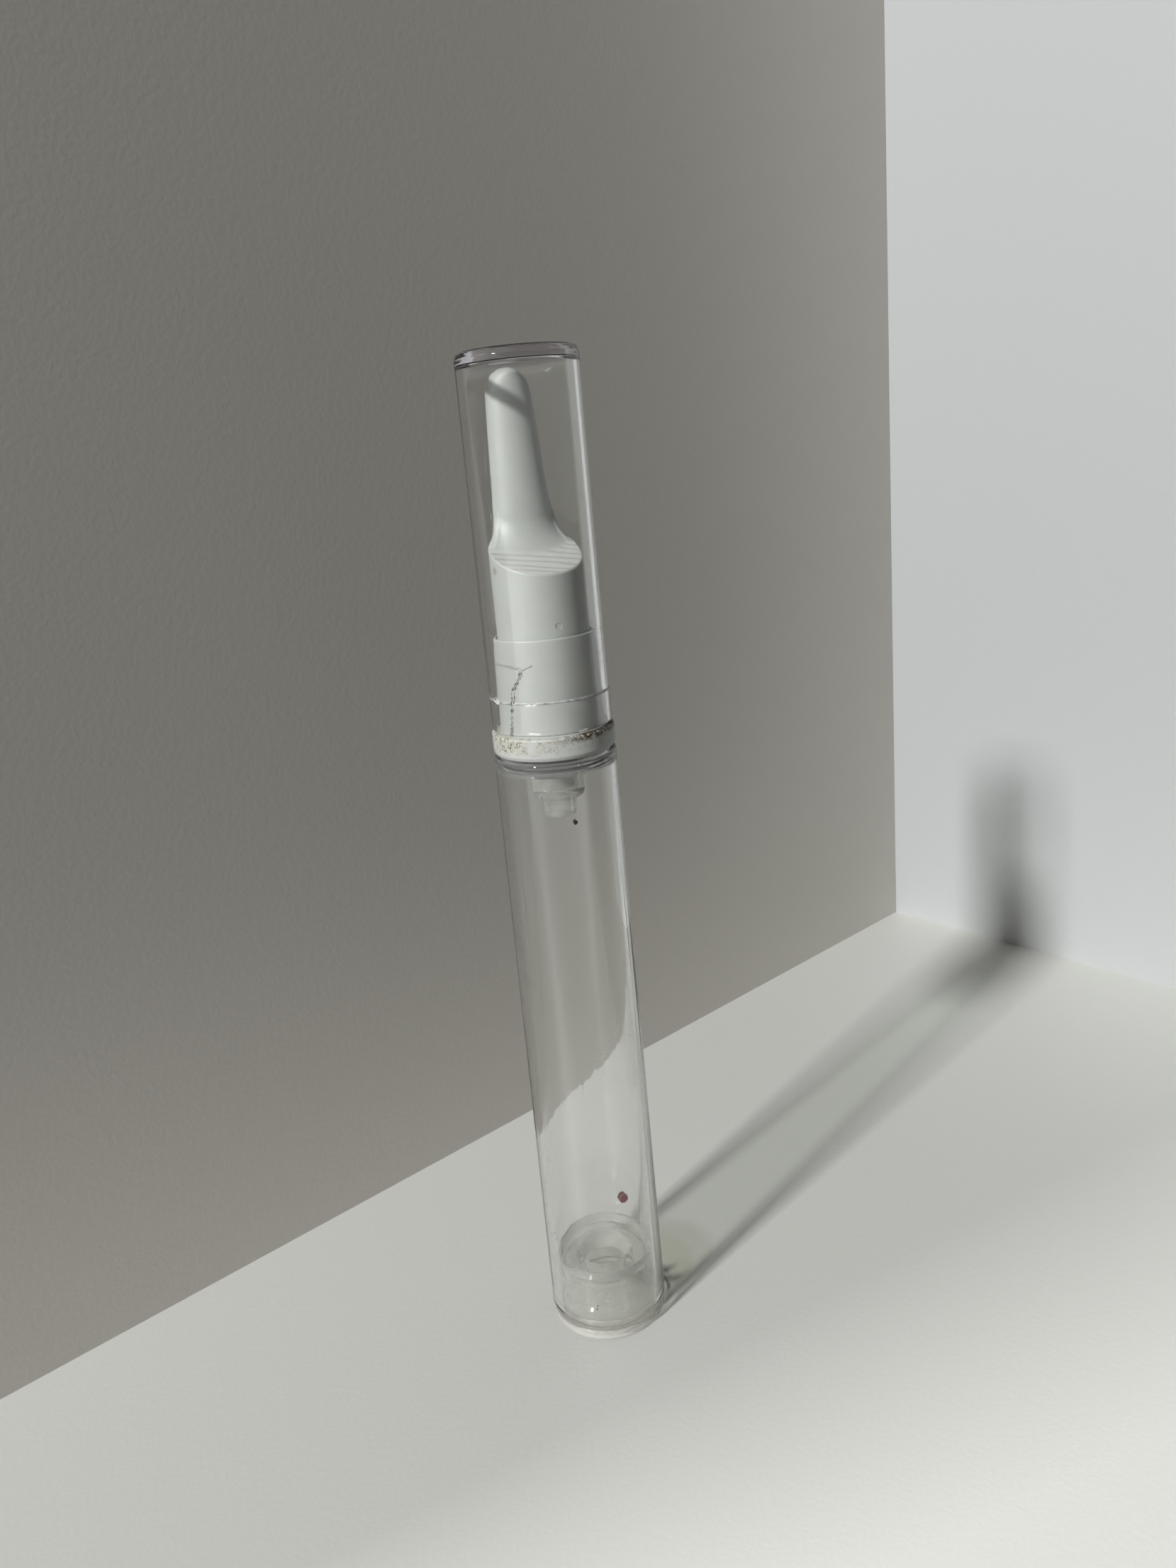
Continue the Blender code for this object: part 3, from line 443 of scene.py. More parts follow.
def clear_finish(name, marks=None, edge_pass=None):
    """Clear polished styrene: a faint haze, drawn waves, fine scuffs along and across, and a little dust."""
    material, tree, shader, output = new_finish(name)
    wear = finishes().wear
    here = place_on_piece(tree)
    cloud = noise(tree, here, 0.22, fine=3.0, rough=0.6)
    rubbed = ramped(tree, cloud, 0.44, 0.70)
    across = noise(tree, place_on_piece(tree, (0.6, 0.6, 9.0)), 1.4, fine=3.0, rough=0.7)
    along = noise(tree, place_on_piece(tree, (7.0, 7.0, 0.35)), 1.1, fine=3.0, rough=0.7)
    scratch = larger(tree, ramped(tree, across, 0.63, 0.68), ramped(tree, along, 0.66, 0.71))
    scratch = times(tree, scratch, rubbed)
    rough = times(tree, rubbed, 0.03 * wear)
    rough = plus(tree, rough, times(tree, scratch, 0.20 * wear))
    dust = specks(tree, here, scale=1.6, size=0.045, share=0.05 * wear)
    colour = mixed(tree, times(tree, dust, 0.8), finishes().clear, CLEAR_DUST)
    haze = ramped(tree, noise(tree, place_on_piece(tree, (1, 1, 0.3)), 0.35, fine=4.0, rough=0.6), 0.35, 0.7, 0.6, 1.4)
    veil = times(tree, haze, finishes().haze)
    veil = plus(tree, veil, times(tree, scratch, 0.05 * wear))
    veil = plus(tree, veil, times(tree, dust, 0.8))
    blocked = 0.0
    if marks:
        colour, veil, blocked = marks(tree, colour, veil)
    set_inputs(tree, shader, {
        "Base Color": colour, "Roughness": plus(tree, rough, 0.015), "IOR": 1.57, "Metallic": 0.0,
        "Transmission Weight": maths(tree, "SUBTRACT", 1.0, veil, clamp=True),
    })
    drawn = noise(tree, place_on_piece(tree, (1, 1, 0.03)), 0.30)
    bumped(tree, shader, plus(tree, drawn, times(tree, scratch, -0.05)), distance=0.00010, strength=0.5)
    lamp_through(tree, shader, output, finishes().lamp_pass, edge_pass or finishes().edge_pass, blocked)
    return material


def barrel_marks(tree, colour, veil):
    """A dried drop, a dark flake and two specks of dirt on the barrel, and its duller shoulder."""
    place = round_the_side(tree, BODY_RADIUS, jitter=0.5)
    drop = spot(tree, place, BARREL_DROP, radius=0.85)
    shoulder = ramped(tree, coordinate(tree, place, 1), SHOULDER_HEIGHT - 0.7, SHOULDER_HEIGHT)
    dirt = None
    for centre, radius in BARREL_SPECKS:
        speck = spot(tree, place, centre, radius=radius)
        dirt = speck if dirt is None else larger(tree, dirt, speck)
    colour = mixed(tree, shoulder, colour, SHOULDER_TINT)
    colour = mixed(tree, drop, colour, DRIED_DROP)
    colour = mixed(tree, dirt, colour, DARK_SPECK)
    veil = plus(tree, veil, times(tree, shoulder, 0.10))
    return colour, plus(tree, veil, larger(tree, drop, dirt), clamp=True), 0.0


def foot_marks(tree, colour, veil):
    """A beige film of dried residue in the foot, and a painted pale sheen on the ring that it stands on, in place of
    its bright reflection.
    """
    film = ramped(tree, noise(tree, place_on_piece(tree), 0.7, fine=4.0, rough=0.6), 0.35, 0.65, 0.02, 0.12)
    film = times(tree, film, finishes().wear)
    # Painted reflection: a pale diffuse band on the foot's lowest millimetre, which also goes into the film's veil
    painted_ring_sheen = ramped(tree, coordinate(tree, place_on_piece(tree), 2), 0.3, 1.1, 1.0, 0.0)
    colour = mixed(tree, painted_ring_sheen, mixed(tree, 0.3, colour, FOOT_FILM), FOOT_PAINTED_SHEEN)
    film = plus(tree, film, times(tree, painted_ring_sheen, 0.30))
    return colour, plus(tree, veil, film, clamp=True), 0.0


def overcap_marks(tree, colour, veil):
    """The thick top, a painted pale line on the bead's ring in place of its highlight, cracks from the mouth with dirt
    in them, a painted dark shade along the mouth where it meets the flange, and painted glints on the ring and mouth
    with one bright chip among them.
    """
    place = round_the_side(tree, CAP_RADIUS, jitter=0.30, grain=2.2)
    height = coordinate(tree, round_the_side(tree, CAP_RADIUS), 1)
    near_top = ramped(tree, height, 1000 * CAP_TOP - 1.9, 1000 * CAP_TOP - 1.6)
    across = vector_maths(tree, "LENGTH", place_on_piece(tree, (1, 1, 0)))
    rim = times(tree, near_top, ramped(tree, across, 7.2, 7.6))
    colour = mixed(tree, near_top, colour, CAP_TOP_TINT)
    # Painted highlight: a pale scattering line on the bead's ring, in place of the bright line that the bead shows
    off_ring = maths(tree, "ABSOLUTE", maths(tree, "SUBTRACT", height, 1000 * CAP_BEAD))
    patchy_painted_line = ramped(tree, noise(tree, place, 0.9), 0.35, 0.6, 0.25, 0.8)
    veil = plus(tree, veil, times(tree, ramped(tree, off_ring, 0.08, 0.16, 0.6, 0.0), patchy_painted_line))
    if not finishes().cracked:
        return colour, veil, rim
    thin = maths(tree, "MINIMUM", off_line(tree, place, CRACK_TOP), off_line(tree, place, CRACK_BRANCH))
    thin = ramped(tree, thin, 0.02, 0.06, 0.85, 0.0)
    length = off_line(tree, place, CRACK_DOWN)
    long_line = ramped(tree, length, 0.02, 0.07, 0.9, 0.0)
    crumbs = noise(tree, place, 1.9, fine=3.0, rough=0.6)
    caught = times(tree, ramped(tree, length, 0.10, 0.22, 1.0, 0.0), ramped(tree, crumbs, 0.48, 0.53))
    side = ramped(tree, off_line(tree, place, CRACK_SIDE), 0.12, 0.25, 1.0, 0.0)
    caught = larger(tree, caught, times(tree, side, ramped(tree, crumbs, 0.58, 0.62)))
    cracks_and_painted_light = larger(tree, larger(tree, thin, long_line), caught)
    # Painted shade: a dark line along the mouth, where the cap meets the flange
    painted_mouth_shade = ramped(tree, height, 1000 * CAP_BOTTOM + 0.12, 1000 * CAP_BOTTOM + 0.26, 0.55, 0.0)
    cracks_and_painted_light = larger(tree, cracks_and_painted_light, painted_mouth_shade)
    colour = mixed(tree, cracks_and_painted_light, colour, CRACK_DIRT_AND_SHADE)
    # Painted highlights: white dashes that stand in for the lamps' glints, and one bright chip
    for ends in PAINTED_CAP_GLINTS:
        glint_and_chip = ramped(tree, off_line(tree, place, ends), 0.07, 0.14, 1.0, 0.0)
        colour = mixed(tree, glint_and_chip, colour, GLINT_AND_CHIP_WHITE)
        cracks_and_painted_light = larger(tree, cracks_and_painted_light, glint_and_chip)
    return colour, plus(tree, veil, cracks_and_painted_light, clamp=True), rim


def white_finish(name, marks=None):
    """White moulded polypropylene: a satin skin, faint mottling, rubbed patches and pin pricks of dust."""
    material, tree, shader, _ = new_finish(name)
    wear = finishes().wear
    here = place_on_piece(tree)
    mottle = noise(tree, here, 0.35, fine=4.0, rough=0.55)
    white = finishes().white
    colour = mixed(tree, ramped(tree, mottle, 0.38, 0.70, 0.0, 0.7), white, scaled(white, 0.93))
    smudge = ramped(tree, noise(tree, place_on_piece(tree, (1, 1, 0.6)), 0.8, fine=5.0, rough=0.65), 0.58, 0.72)
    colour = mixed(tree, times(tree, smudge, 0.30 * wear), colour, SMUDGE)
    dust = specks(tree, here, scale=1.1, size=0.07, share=0.07 * wear)
    colour = mixed(tree, times(tree, dust, 0.7), colour, WHITE_DUST)
    relief = times(tree, noise(tree, here, 9.0), 0.35)
    if marks:
        colour, relief = marks(tree, colour, relief)
    set_inputs(tree, shader, {
        "Base Color": colour, "Roughness": ramped(tree, mottle, 0.3, 0.7, 0.42, 0.54), "IOR": 1.49, "Metallic": 0.0,
        "Subsurface Weight": 0.06, "Subsurface Scale": 0.0006, "Subsurface Radius": (1.0, 0.9, 0.8),
    })
    bumped(tree, shader, relief, distance=0.00004, strength=0.5)
    return material


def flange_marks(tree, colour, relief):
    """Dried brown residue on the flange: fine curls and crumbs, thick at the upper edge on one side."""
    place = round_the_side(tree, FLANGE_RADIUS)
    arc, height = coordinate(tree, place, 0), coordinate(tree, place, 1)
    low, high = 1000 * FLANGE_BOTTOM, 1000 * (FLANGE_BOTTOM + FLANGE_HEIGHT)
    outside = vector_maths(tree, "LENGTH", place_on_piece(tree, (1, 1, 0)))
    on_side = maths(tree, "GREATER_THAN", outside, 1000 * FLANGE_RADIUS - 0.8)
    on_flange = times(tree, maths(tree, "LESS_THAN", height, high + 0.05), on_side)
    left = ramped(tree, arc, -9.0, 2.5, 1.0, 0.0)
    right = ramped(tree, arc, -1.0, 4.5)
    middle_up = ramped(tree, height, low + 0.7, low + 1.8)
    top_edge = ramped(tree, height, high - 1.1, high - 0.5)
    patches = ramped(tree, noise(tree, place, 0.55), 0.36, 0.50)
    curls = noise(tree, place, 1.5, fine=3.0, rough=0.55)
    curls = ramped(tree, maths(tree, "ABSOLUTE", maths(tree, "SUBTRACT", curls, 0.5)), 0.012, 0.030, 1.0, 0.0)
    curls = times(tree, curls, ramped(tree, noise(tree, place, 1.1), 0.47, 0.52))
    crumbs = ramped(tree, noise(tree, place, 2.6, fine=4.0, rough=0.7), 0.60, 0.64)
    spread = times(tree, times(tree, middle_up, patches), plus(tree, left, 0.25), clamp=True)
    fine = times(tree, larger(tree, times(tree, curls, 0.9), crumbs), spread)
    broken = ramped(tree, noise(tree, place, 1.6, fine=4.0, rough=0.65), 0.42, 0.49)
    band = times(tree, times(tree, top_edge, right), broken)
    far_left = times(tree, ramped(tree, arc, -12.0, -8.5, 1.0, 0.0), crumbs)
    residue = larger(tree, larger(tree, fine, band), far_left)
    residue = times(tree, times(tree, residue, on_flange), finishes().wear, clamp=True)
    film = times(tree, times(tree, spread, on_flange), 0.40)
    colour = mixed(tree, film, colour, FLANGE_FILM)
    colour = mixed(tree, residue, colour, finishes().dirt)
    return colour, plus(tree, relief, residue)


def head_marks(tree, colour, relief):
    """Faint curved lines that the mould's cutter left across the slanted face, painted light that brightens that upward
    face, a dimple and a scuff on the shank.
    """
    lines = add_node(
        tree, "ShaderNodeTexWave",
        {
            "Vector": place_on_piece(tree, (0.35, 1.0, 1.0)), "Scale": 0.26,
            "Distortion": 5.5, "Detail": 3.0, "Detail Scale": 0.8,
        },
        bands_direction="Y",
    ).outputs["Fac"]
    upward = coordinate(tree, add_node(tree, "ShaderNodeNewGeometry").outputs["Normal"], 2)
    height = coordinate(tree, place_on_piece(tree), 2)
    below_tip = ramped(tree, height, 1000 * HEAD_TOP - 14.0, 1000 * HEAD_TOP - 10.0, 1.0, 0.0)
    on_cut = times(tree, ramped(tree, upward, 0.72, 0.86), below_tip)
    grain = times(tree, ramped(tree, lines, 0.55, 0.9), on_cut)
    # Painted light: the upward slanted face made paler, as it catches more of the lamps
    colour = mixed(tree, times(tree, on_cut, 0.7), colour, CUT_FACE_PAINTED_LIGHT)
    colour = mixed(tree, grain, colour, CUT_LINES)
    place = round_the_side(tree, SHANK_RADIUS, jitter=0.3)
    dimple = spot(tree, place, SHANK_DIMPLE, radius=0.45)
    scuff = spot(tree, place, SHANK_SCUFF, radius=0.55)
    colour = mixed(tree, times(tree, scuff, 0.75), colour, SCUFF)
    relief = plus(tree, relief, times(tree, grain, 1.5))
    return colour, maths(tree, "SUBTRACT", relief, times(tree, dimple, 8.0))


def milky_finish(name, colour, through, cloudy, ior):
    """Natural unfilled plastic, between clear and white, a little uneven in thickness."""
    material, tree, shader, output = new_finish(name)
    here = place_on_piece(tree)
    cloud = noise(tree, here, 0.5, fine=3.0, rough=0.6)
    set_inputs(tree, shader, {
        "Base Color": mixed(tree, cloud, colour, scaled(colour, 0.93)), "IOR": ior, "Metallic": 0.0,
        "Roughness": ramped(tree, cloud, 0.3, 0.7, cloudy - 0.04, cloudy + 0.06),
        "Transmission Weight": ramped(tree, cloud, 0.3, 0.7, through + 0.05, through - 0.05),
    })
    bumped(tree, shader, noise(tree, here, 1.5), distance=0.00001, strength=0.2)
    lamp_through(tree, shader, output, scaled(colour, 1.1), scaled(colour, 0.85))
    return material


def wire_finish(name):
    """Bright drawn stainless wire with fine draw marks."""
    material, tree, shader, _ = new_finish(name)
    grain = noise(tree, place_on_piece(tree, (3, 3, 3)), 1.6, fine=4.0, rough=0.7)
    wire = finishes().wire
    set_inputs(tree, shader, {
        "Base Color": mixed(tree, grain, wire, scaled(wire, 0.82)), "Metallic": 1.0, "IOR": 2.5,
        "Roughness": ramped(tree, grain, 0.3, 0.7, 0.18, 0.34),
    })
    bumped(tree, shader, grain, distance=0.00001, strength=0.4)
    return material


# Modelling


def deselect():
    if bpy.context.mode != "OBJECT":
        bpy.ops.object.mode_set(mode="OBJECT")
    bpy.ops.object.select_all(action="DESELECT")


def select_only(piece):
    deselect()
    bpy.context.view_layer.objects.active = piece
    piece.select_set(True)


def edit(piece):
    """Opens one piece alone in edit mode, with nothing selected."""
    select_only(piece)
    bpy.ops.object.mode_set(mode="EDIT")
    bpy.ops.mesh.select_mode(type="VERT")
    bpy.ops.mesh.select_all(action="DESELECT")


def choose(piece, test):
    """Selects, in edit mode, the points that pass the test, and says how many."""
    bpy.ops.mesh.select_all(action="DESELECT")
    mesh = bmesh.from_edit_mesh(piece.data)
    chosen = [point for point in mesh.verts if test(point)]
    for point in chosen:
        point.select_set(True)
    mesh.select_flush(True)
    bmesh.update_edit_mesh(piece.data)
    return len(chosen)


def is_corner(point, least=math.radians(20)):
    """True for a point of a bare outline where it turns, away from the axis."""
    if len(point.link_edges) != 2 or point.co.x < TOLERANCE:
        return False
    first, second = (edge.other_vert(point).co - point.co for edge in point.link_edges)
    return math.pi - first.angle(second) > least


def close_and_turn_out(piece):
    bpy.ops.mesh.select_all(action="SELECT")
    bpy.ops.mesh.remove_doubles(threshold=TOLERANCE)
    bpy.ops.mesh.normals_make_consistent(inside=False)
    if bmesh.from_edit_mesh(piece.data).calc_volume(signed=True) < 0:
        bpy.ops.mesh.flip_normals()
    bpy.ops.object.mode_set(mode="OBJECT")


def behind_bead(point):
    """True for the overcap's inner corner just above its bead, where the real one runs on straight."""
    return CAP_BEAD_TOP < point.co.z < CAP_BEAD_TOP + CAP_BEAD_STEP and point.co.x < CAP_WALL_FACE


def turned_from(node, name, steps, edge_round, straighten=None):
    """The node's own section, cut from its solid, with its edges rounded, spun finely round the axis."""
    piece = bpy.data.objects.new(name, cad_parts[node].data.copy())
    bpy.context.scene.collection.objects.link(piece)
    piece.data.materials.clear()
    edit(piece)
    bpy.ops.mesh.select_all(action="SELECT")
    bpy.ops.mesh.remove_doubles(threshold=TOLERANCE)
    bpy.ops.mesh.bisect(plane_co=(0, 0, 0), plane_no=(0, 1, 0), clear_inner=True, clear_outer=True, threshold=TOLERANCE)
    if choose(piece, lambda point: point.co.x < -TOLERANCE):
        bpy.ops.mesh.delete(type="VERT")
    if straighten:
        if not choose(piece, straighten):
            raise RuntimeError(f"{name} has no corner to straighten")
        bpy.ops.mesh.dissolve_verts()
    if choose(piece, is_corner):
        bpy.ops.mesh.bevel(offset=edge_round, segments=3, affect="VERTICES", clamp_overlap=True)
    bpy.ops.mesh.select_all(action="SELECT")
    bpy.ops.mesh.spin(steps=steps, angle=math.tau, center=(0, 0, 0), axis=(0, 0, 1))
    close_and_turn_out(piece)
    return piece


def finished(piece, body, material, replaced, sharp=35, straight_walls=True):
    """Shades the piece, gives it its finish, and sets it on its body in its solid's place."""
    select_only(piece)
    bpy.ops.object.shade_smooth_by_angle(angle=math.radians(sharp))
    if straight_walls:
        modifier = piece.modifiers.new("straight_walls", "WEIGHTED_NORMAL")
        modifier.keep_sharp = True
        bpy.ops.object.modifier_apply(modifier=modifier.name)
    piece.data.materials.append(material)
    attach(piece, body)
    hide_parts(replaced)


def between(ends, share):
    return ends[0] + (ends[1] - ends[0]) * share


def blade_section(share, narrowing, thinning, angle):
    """A point of the blade's level section: half an ellipse in front and a flatter one behind."""
    half_width = between(BLADE_HALF_WIDTHS, share) * narrowing
    depths = BLADE_BACK_DEPTHS if math.sin(angle) > 0 else BLADE_FRONT_DEPTHS
    depth = between(depths, share) * thinning
    return Vector((half_width * math.cos(angle), between(BLADE_OFFSETS, share) + depth * math.sin(angle)))


def blade_angle(azimuth):
    """The angle on the blade's section that belongs to a direction from the shank's axis."""
    flush = math.atan2(BLADE_OFFSETS[0], BLADE_HALF_WIDTHS[0])
    quarter = math.pi / 2
    side = math.atan2(math.sin(azimuth), abs(math.cos(azimuth)))
    spread = quarter + flush if side < flush else quarter - flush
    angle = (side - flush) * quarter / spread
    return angle if math.cos(azimuth) >= 0 else math.pi - angle


def cut_height(y):
    return SHANK_FRONT_HEIGHT + CUT_SLOPE * (y + SHANK_TOP_RADIUS)


def ledge(azimuth):
    """How far the blade's foot stands back from the shank's wall, from 0 where it is flush to 1."""
    corner = Vector((math.cos(azimuth), math.sin(azimuth))) * SHANK_TOP_RADIUS
    return min(1.0, (blade_section(0, 1, 1, blade_angle(azimuth)) - corner).length / LEDGE_FADE)


def rim_point(azimuth, share):
    """A point of the cut's rounded edge, from the shank's wall to the cut's face."""
    direction = Vector((math.cos(azimuth), math.sin(azimuth)))
    corner = direction * SHANK_TOP_RADIUS
    rounding = RIM_ROUND * ledge(azimuth)**2
    inside = direction * (SHANK_TOP_RADIUS - rounding)
    start = Vector((*corner, cut_height(corner.y) - rounding))
    middle = Vector((*corner, cut_height(corner.y)))
    end = Vector((*inside, cut_height(inside.y)))
    return start.lerp(middle, share).lerp(middle.lerp(end, share), share)


def flare_point(azimuth, share):
    """A point between the cut's face and the blade, on a fillet that runs out straight at the flush sides."""
    outer = rim_point(azimuth, 1).xy
    inner = blade_section(0, 1, 1, blade_angle(azimuth))
    run = inner - outer
    width = ledge(azimuth)
    turn = math.pi / 2 * share
    reach = between((run.length, min(FILLET_REACH, FILLET_SHARE * run.length)), width)
    inward = between((1 - share, 1 - math.sin(turn)), width)
    upward = between((share, 1 - math.cos(turn)), width)
    point = inner - run.normalized() * reach * inward
    return Vector((*point, cut_height(point.y) + FILLET_HEIGHT * upward))


def blade_share(height):
    """How far up the blade a height is, from 0 at its lowest level section to 1 at its tip."""
    start = cut_height(BLADE_OFFSETS[0] - BLADE_FRONT_DEPTHS[0]) + FILLET_HEIGHT
    return max(0.0, (height - start) / (HEAD_TOP - HEAD_BOTTOM - start))


def blade_point(azimuth, share):
    foot = flare_point(azimuth, 1).z
    height = between((foot, HEAD_TOP - HEAD_BOTTOM - TIP_ROUND), share)
    return Vector((*blade_section(blade_share(height), 1, 1, blade_angle(azimuth)), height))


def tip_point(azimuth, turn):
    """A point of the rounded tip, which also thins from front to back near its end."""
    length = HEAD_TOP - HEAD_BOTTOM
    height = length - TIP_ROUND * (1 - math.sin(turn))
    above_edge = max(0.0, height - (length - TIP_EDGE_ROUND)) / TIP_EDGE_ROUND
    thinning = math.sqrt(max(0.0, 1 - TIP_THINNING * above_edge**2))
    section = blade_section(blade_share(height), math.cos(turn), thinning, blade_angle(azimuth))
    return Vector((*section, height))


def head_rings():
    """The head's outside as rules, each of which gives a ring's point for a direction from the axis."""
    wall = [lambda azimuth: Vector((SHANK_RADIUS * math.cos(azimuth), SHANK_RADIUS * math.sin(azimuth), 0))]
    rim = [lambda azimuth, share=step / RIM_RINGS: rim_point(azimuth, share) for step in range(RIM_RINGS + 1)]
    flare = [
        lambda azimuth, share=step / FLARE_RINGS: flare_point(azimuth, share) for step in range(FLARE_RINGS + 1)
    ]
    blade = [
        lambda azimuth, share=step / BLADE_RINGS: blade_point(azimuth, share) for step in range(1, BLADE_RINGS + 1)
    ]
    turns = [math.pi / 2 * step / (TIP_RINGS + TIP_LEFT_OPEN) for step in range(1, TIP_RINGS + 1)]
    tip = [lambda azimuth, turn=turn: tip_point(azimuth, turn) for turn in turns]
    return wall + rim + flare + blade + tip


def note_directions(piece):
    """Keeps each point's direction from the axis with it, which its copies in later rings inherit."""
    mesh = bmesh.from_edit_mesh(piece.data)
    direction = mesh.verts.layers.float.new("direction")
    for point in mesh.verts:
        point[direction] = math.atan2(point.co.y, point.co.x) - HEAD_TURN
    bmesh.update_edit_mesh(piece.data)


def extrude_ring(piece, rule):
    """Extrudes the selected ring and sets its points where the rule says."""
    bpy.ops.mesh.extrude_region_move(TRANSFORM_OT_translate={"value": (0, 0, 0.0001)})
    mesh = bmesh.from_edit_mesh(piece.data)
    direction = mesh.verts.layers.float["direction"]
    turn = Matrix.Rotation(HEAD_TURN, 3, "Z")
    for point in (point for point in mesh.verts if point.select):
        point.co = turn @ rule(point[direction]) + Vector((0, 0, HEAD_BOTTOM))
    bmesh.update_edit_mesh(piece.data)


class StageOperator(bpy.types.Operator):
    """Stands a plain pale corner, two lamps and the camera round the bottle"""

    bl_idname = "bottle.stage"
    bl_label = "Stage"

    def execute(self, context):
        scene = context.scene
        settings = scene.bottle_stage
        size = Matrix.Diagonal((FLOOR_WIDTH, FLOOR_WIDTH, 1, 1))
        add_board("floor", size, board_finish("floor", settings.floor, "Is Reflection Ray"))
        for name, along, half_turn, width, colour in (
            ("left_board", ALONG_LEFT, math.pi, LEFT_BOARD_WIDTH, settings.left_board),
            ("right_board", ALONG_RIGHT, 0, RIGHT_BOARD_WIDTH, settings.right_board),
        ):
            placing = upright(CORNER + along * (width / 2), math.atan2(along.y, along.x) + half_turn, width)
            add_board(name, placing, board_finish(name, colour))
        add_lamp("front_lamp", TO_FRONT_LAMP, settings.front_share)
        add_lamp("side_lamp", TO_SIDE_LAMP, 1 - settings.front_share)
        scene.world = soft_fill()
        scene.camera = photo_camera()
        scene.view_settings.view_transform = "Standard"
        return {"FINISHED"}


def add_board(name, placing, finish):
    """A flat board of side 1, sized and placed, which is no part of the bottle."""
    deselect()
    bpy.ops.mesh.primitive_plane_add(size=1, location=(0, 0, 0))
    board = bpy.context.active_object
    board.name = name
    board.data.transform(placing)
    board.data.materials.append(finish)


def upright(middle, turn, width):
    """Stands a flat board on its lower edge, with its face towards the bottle."""
    stand = Matrix.Translation(middle) @ Matrix.Rotation(turn, 4, "Z") @ Matrix.Rotation(math.pi / 2, 4, "X")
    return stand @ Matrix.Translation((0, BOARD_HEIGHT / 2, 0)) @ Matrix.Diagonal((width, BOARD_HEIGHT, 1, 1))


def add_lamp(name, towards, share):
    """A square lamp aimed at the head, with its share of the light."""
    settings = bpy.context.scene.bottle_stage
    lamp = bpy.data.lights.new(name, "AREA")
    lamp.shape = "SQUARE"
    lamp.size = settings.lamp_side
    lamp.energy = math.pi**2 * settings.lamp_distance**2 * settings.lamp_level * share
    holder = bpy.data.objects.new(name, lamp)
    holder.location = towards.normalized() * settings.lamp_distance + Vector((0, 0, HEAD_TOP))
    holder.rotation_mode = "QUATERNION"
    holder.rotation_quaternion = towards.to_track_quat("Z", "Y")
    bpy.context.scene.collection.objects.link(holder)


def soft_fill():
    """A faint light from all round, which the camera and clear walls show as a pale backdrop."""
    settings = bpy.context.scene.bottle_stage
    world = bpy.data.worlds.new("soft_fill")
    world.use_nodes = True
    tree = world.node_tree
    path = add_node(tree, "ShaderNodeLightPath").outputs
    shown = plus(tree, path["Is Camera Ray"], path["Is Transmission Ray"], clamp=True)
    shown = larger(tree, shown, times(tree, path["Is Glossy Ray"], settings.mirrored))
    level = ramped(tree, shown, 0.0, 1.0, settings.fill_level, settings.backdrop)
    sky = tree.nodes["Background"]
    sky.inputs["Color"].default_value = (1.0, 0.99, 0.97, 1.0)
    tree.links.new(level, sky.inputs["Strength"])
    return world


def photo_camera():
    """The camera where the photograph was taken from, with the lens that fits its outline."""
    camera = bpy.data.cameras.new("camera")
    camera.sensor_fit = "VERTICAL"
    camera.sensor_height = 36
    camera.lens = CAMERA_LENS
    camera.clip_start = 0.001
    camera.clip_end = 20
    stand = bpy.data.objects.new("camera", camera)
    turned = Matrix((CAMERA_RIGHT, CAMERA_UP, CAMERA_RIGHT.cross(CAMERA_UP))).transposed().to_4x4()
    stand.matrix_world = Matrix.Translation(CAMERA_PLACE) @ turned
    bpy.context.scene.collection.objects.link(stand)
    return stand


def board_finish(name, colour, dimmed="Is Diffuse Ray"):
    """Pale laminated board with a faint orange-peel skin.

    Past a short distance its light on other things is dimmed. An upright board is clear from behind.
    """
    material, tree, shader, output = new_finish(name)
    here = place_on_piece(tree)
    peel = noise(tree, here, 1.1, fine=3.0)
    shown = mixed(tree, peel, colour, scaled(colour, 0.97))
    path = add_node(tree, "ShaderNodeLightPath").outputs
    back = path[dimmed]
    if name != "left_board":
        back = times(tree, back, ramped(tree, path["Ray Length"], *DIMMED_FROM_TO))
    less = times(tree, back, 1 - bpy.context.scene.bottle_stage.bounce)
    set_inputs(tree, shader, {
        "Base Color": mixed(tree, less, shown, (0, 0, 0)), "IOR": 1.45, "Metallic": 0.0,
        "Roughness": ramped(tree, peel, 0.3, 0.7, 0.42, 0.52),
    })
    bumped(tree, shader, peel, distance=0.0001, strength=0.25)
    if name != "floor":
        behind = add_node(tree, "ShaderNodeNewGeometry").outputs["Backfacing"]
        unseen = times(tree, behind, maths(tree, "SUBTRACT", 1.0, path["Is Shadow Ray"]))
        clear = add_node(tree, "ShaderNodeBsdfTransparent").outputs[0]
        both = add_node(tree, "ShaderNodeMixShader", {0: unseen, 1: shader.outputs[0], 2: clear})
        tree.links.new(both.outputs[0], output.inputs["Surface"])
    return material


class ClearPiecesOperator(bpy.types.Operator):
    """Spins the clear body, foot and overcap from their solids' sections"""

    bl_idname = "bottle.clear_pieces"
    bl_label = "Clear body, foot and overcap"

    def execute(self, context):
        steps, edge = detail().clear_steps, detail().edge_round
        for node, name, body, finish, straighten in (
            ("bottle_body", "clear_barrel", "bottle", ("scuffed_clear_barrel", barrel_marks), None),
            ("base_plug", "foot_plug", "bottle", ("scuffed_clear_foot", foot_marks, FOOT_EDGE_PASS), None),
            ("overcap", "clear_overcap", "cap", ("scuffed_clear_overcap", overcap_marks), behind_bead),
        ):
            piece = turned_from(node, name, steps, edge, straighten)
            finished(piece, body, clear_finish(*finish), node)
        return {"FINISHED"}


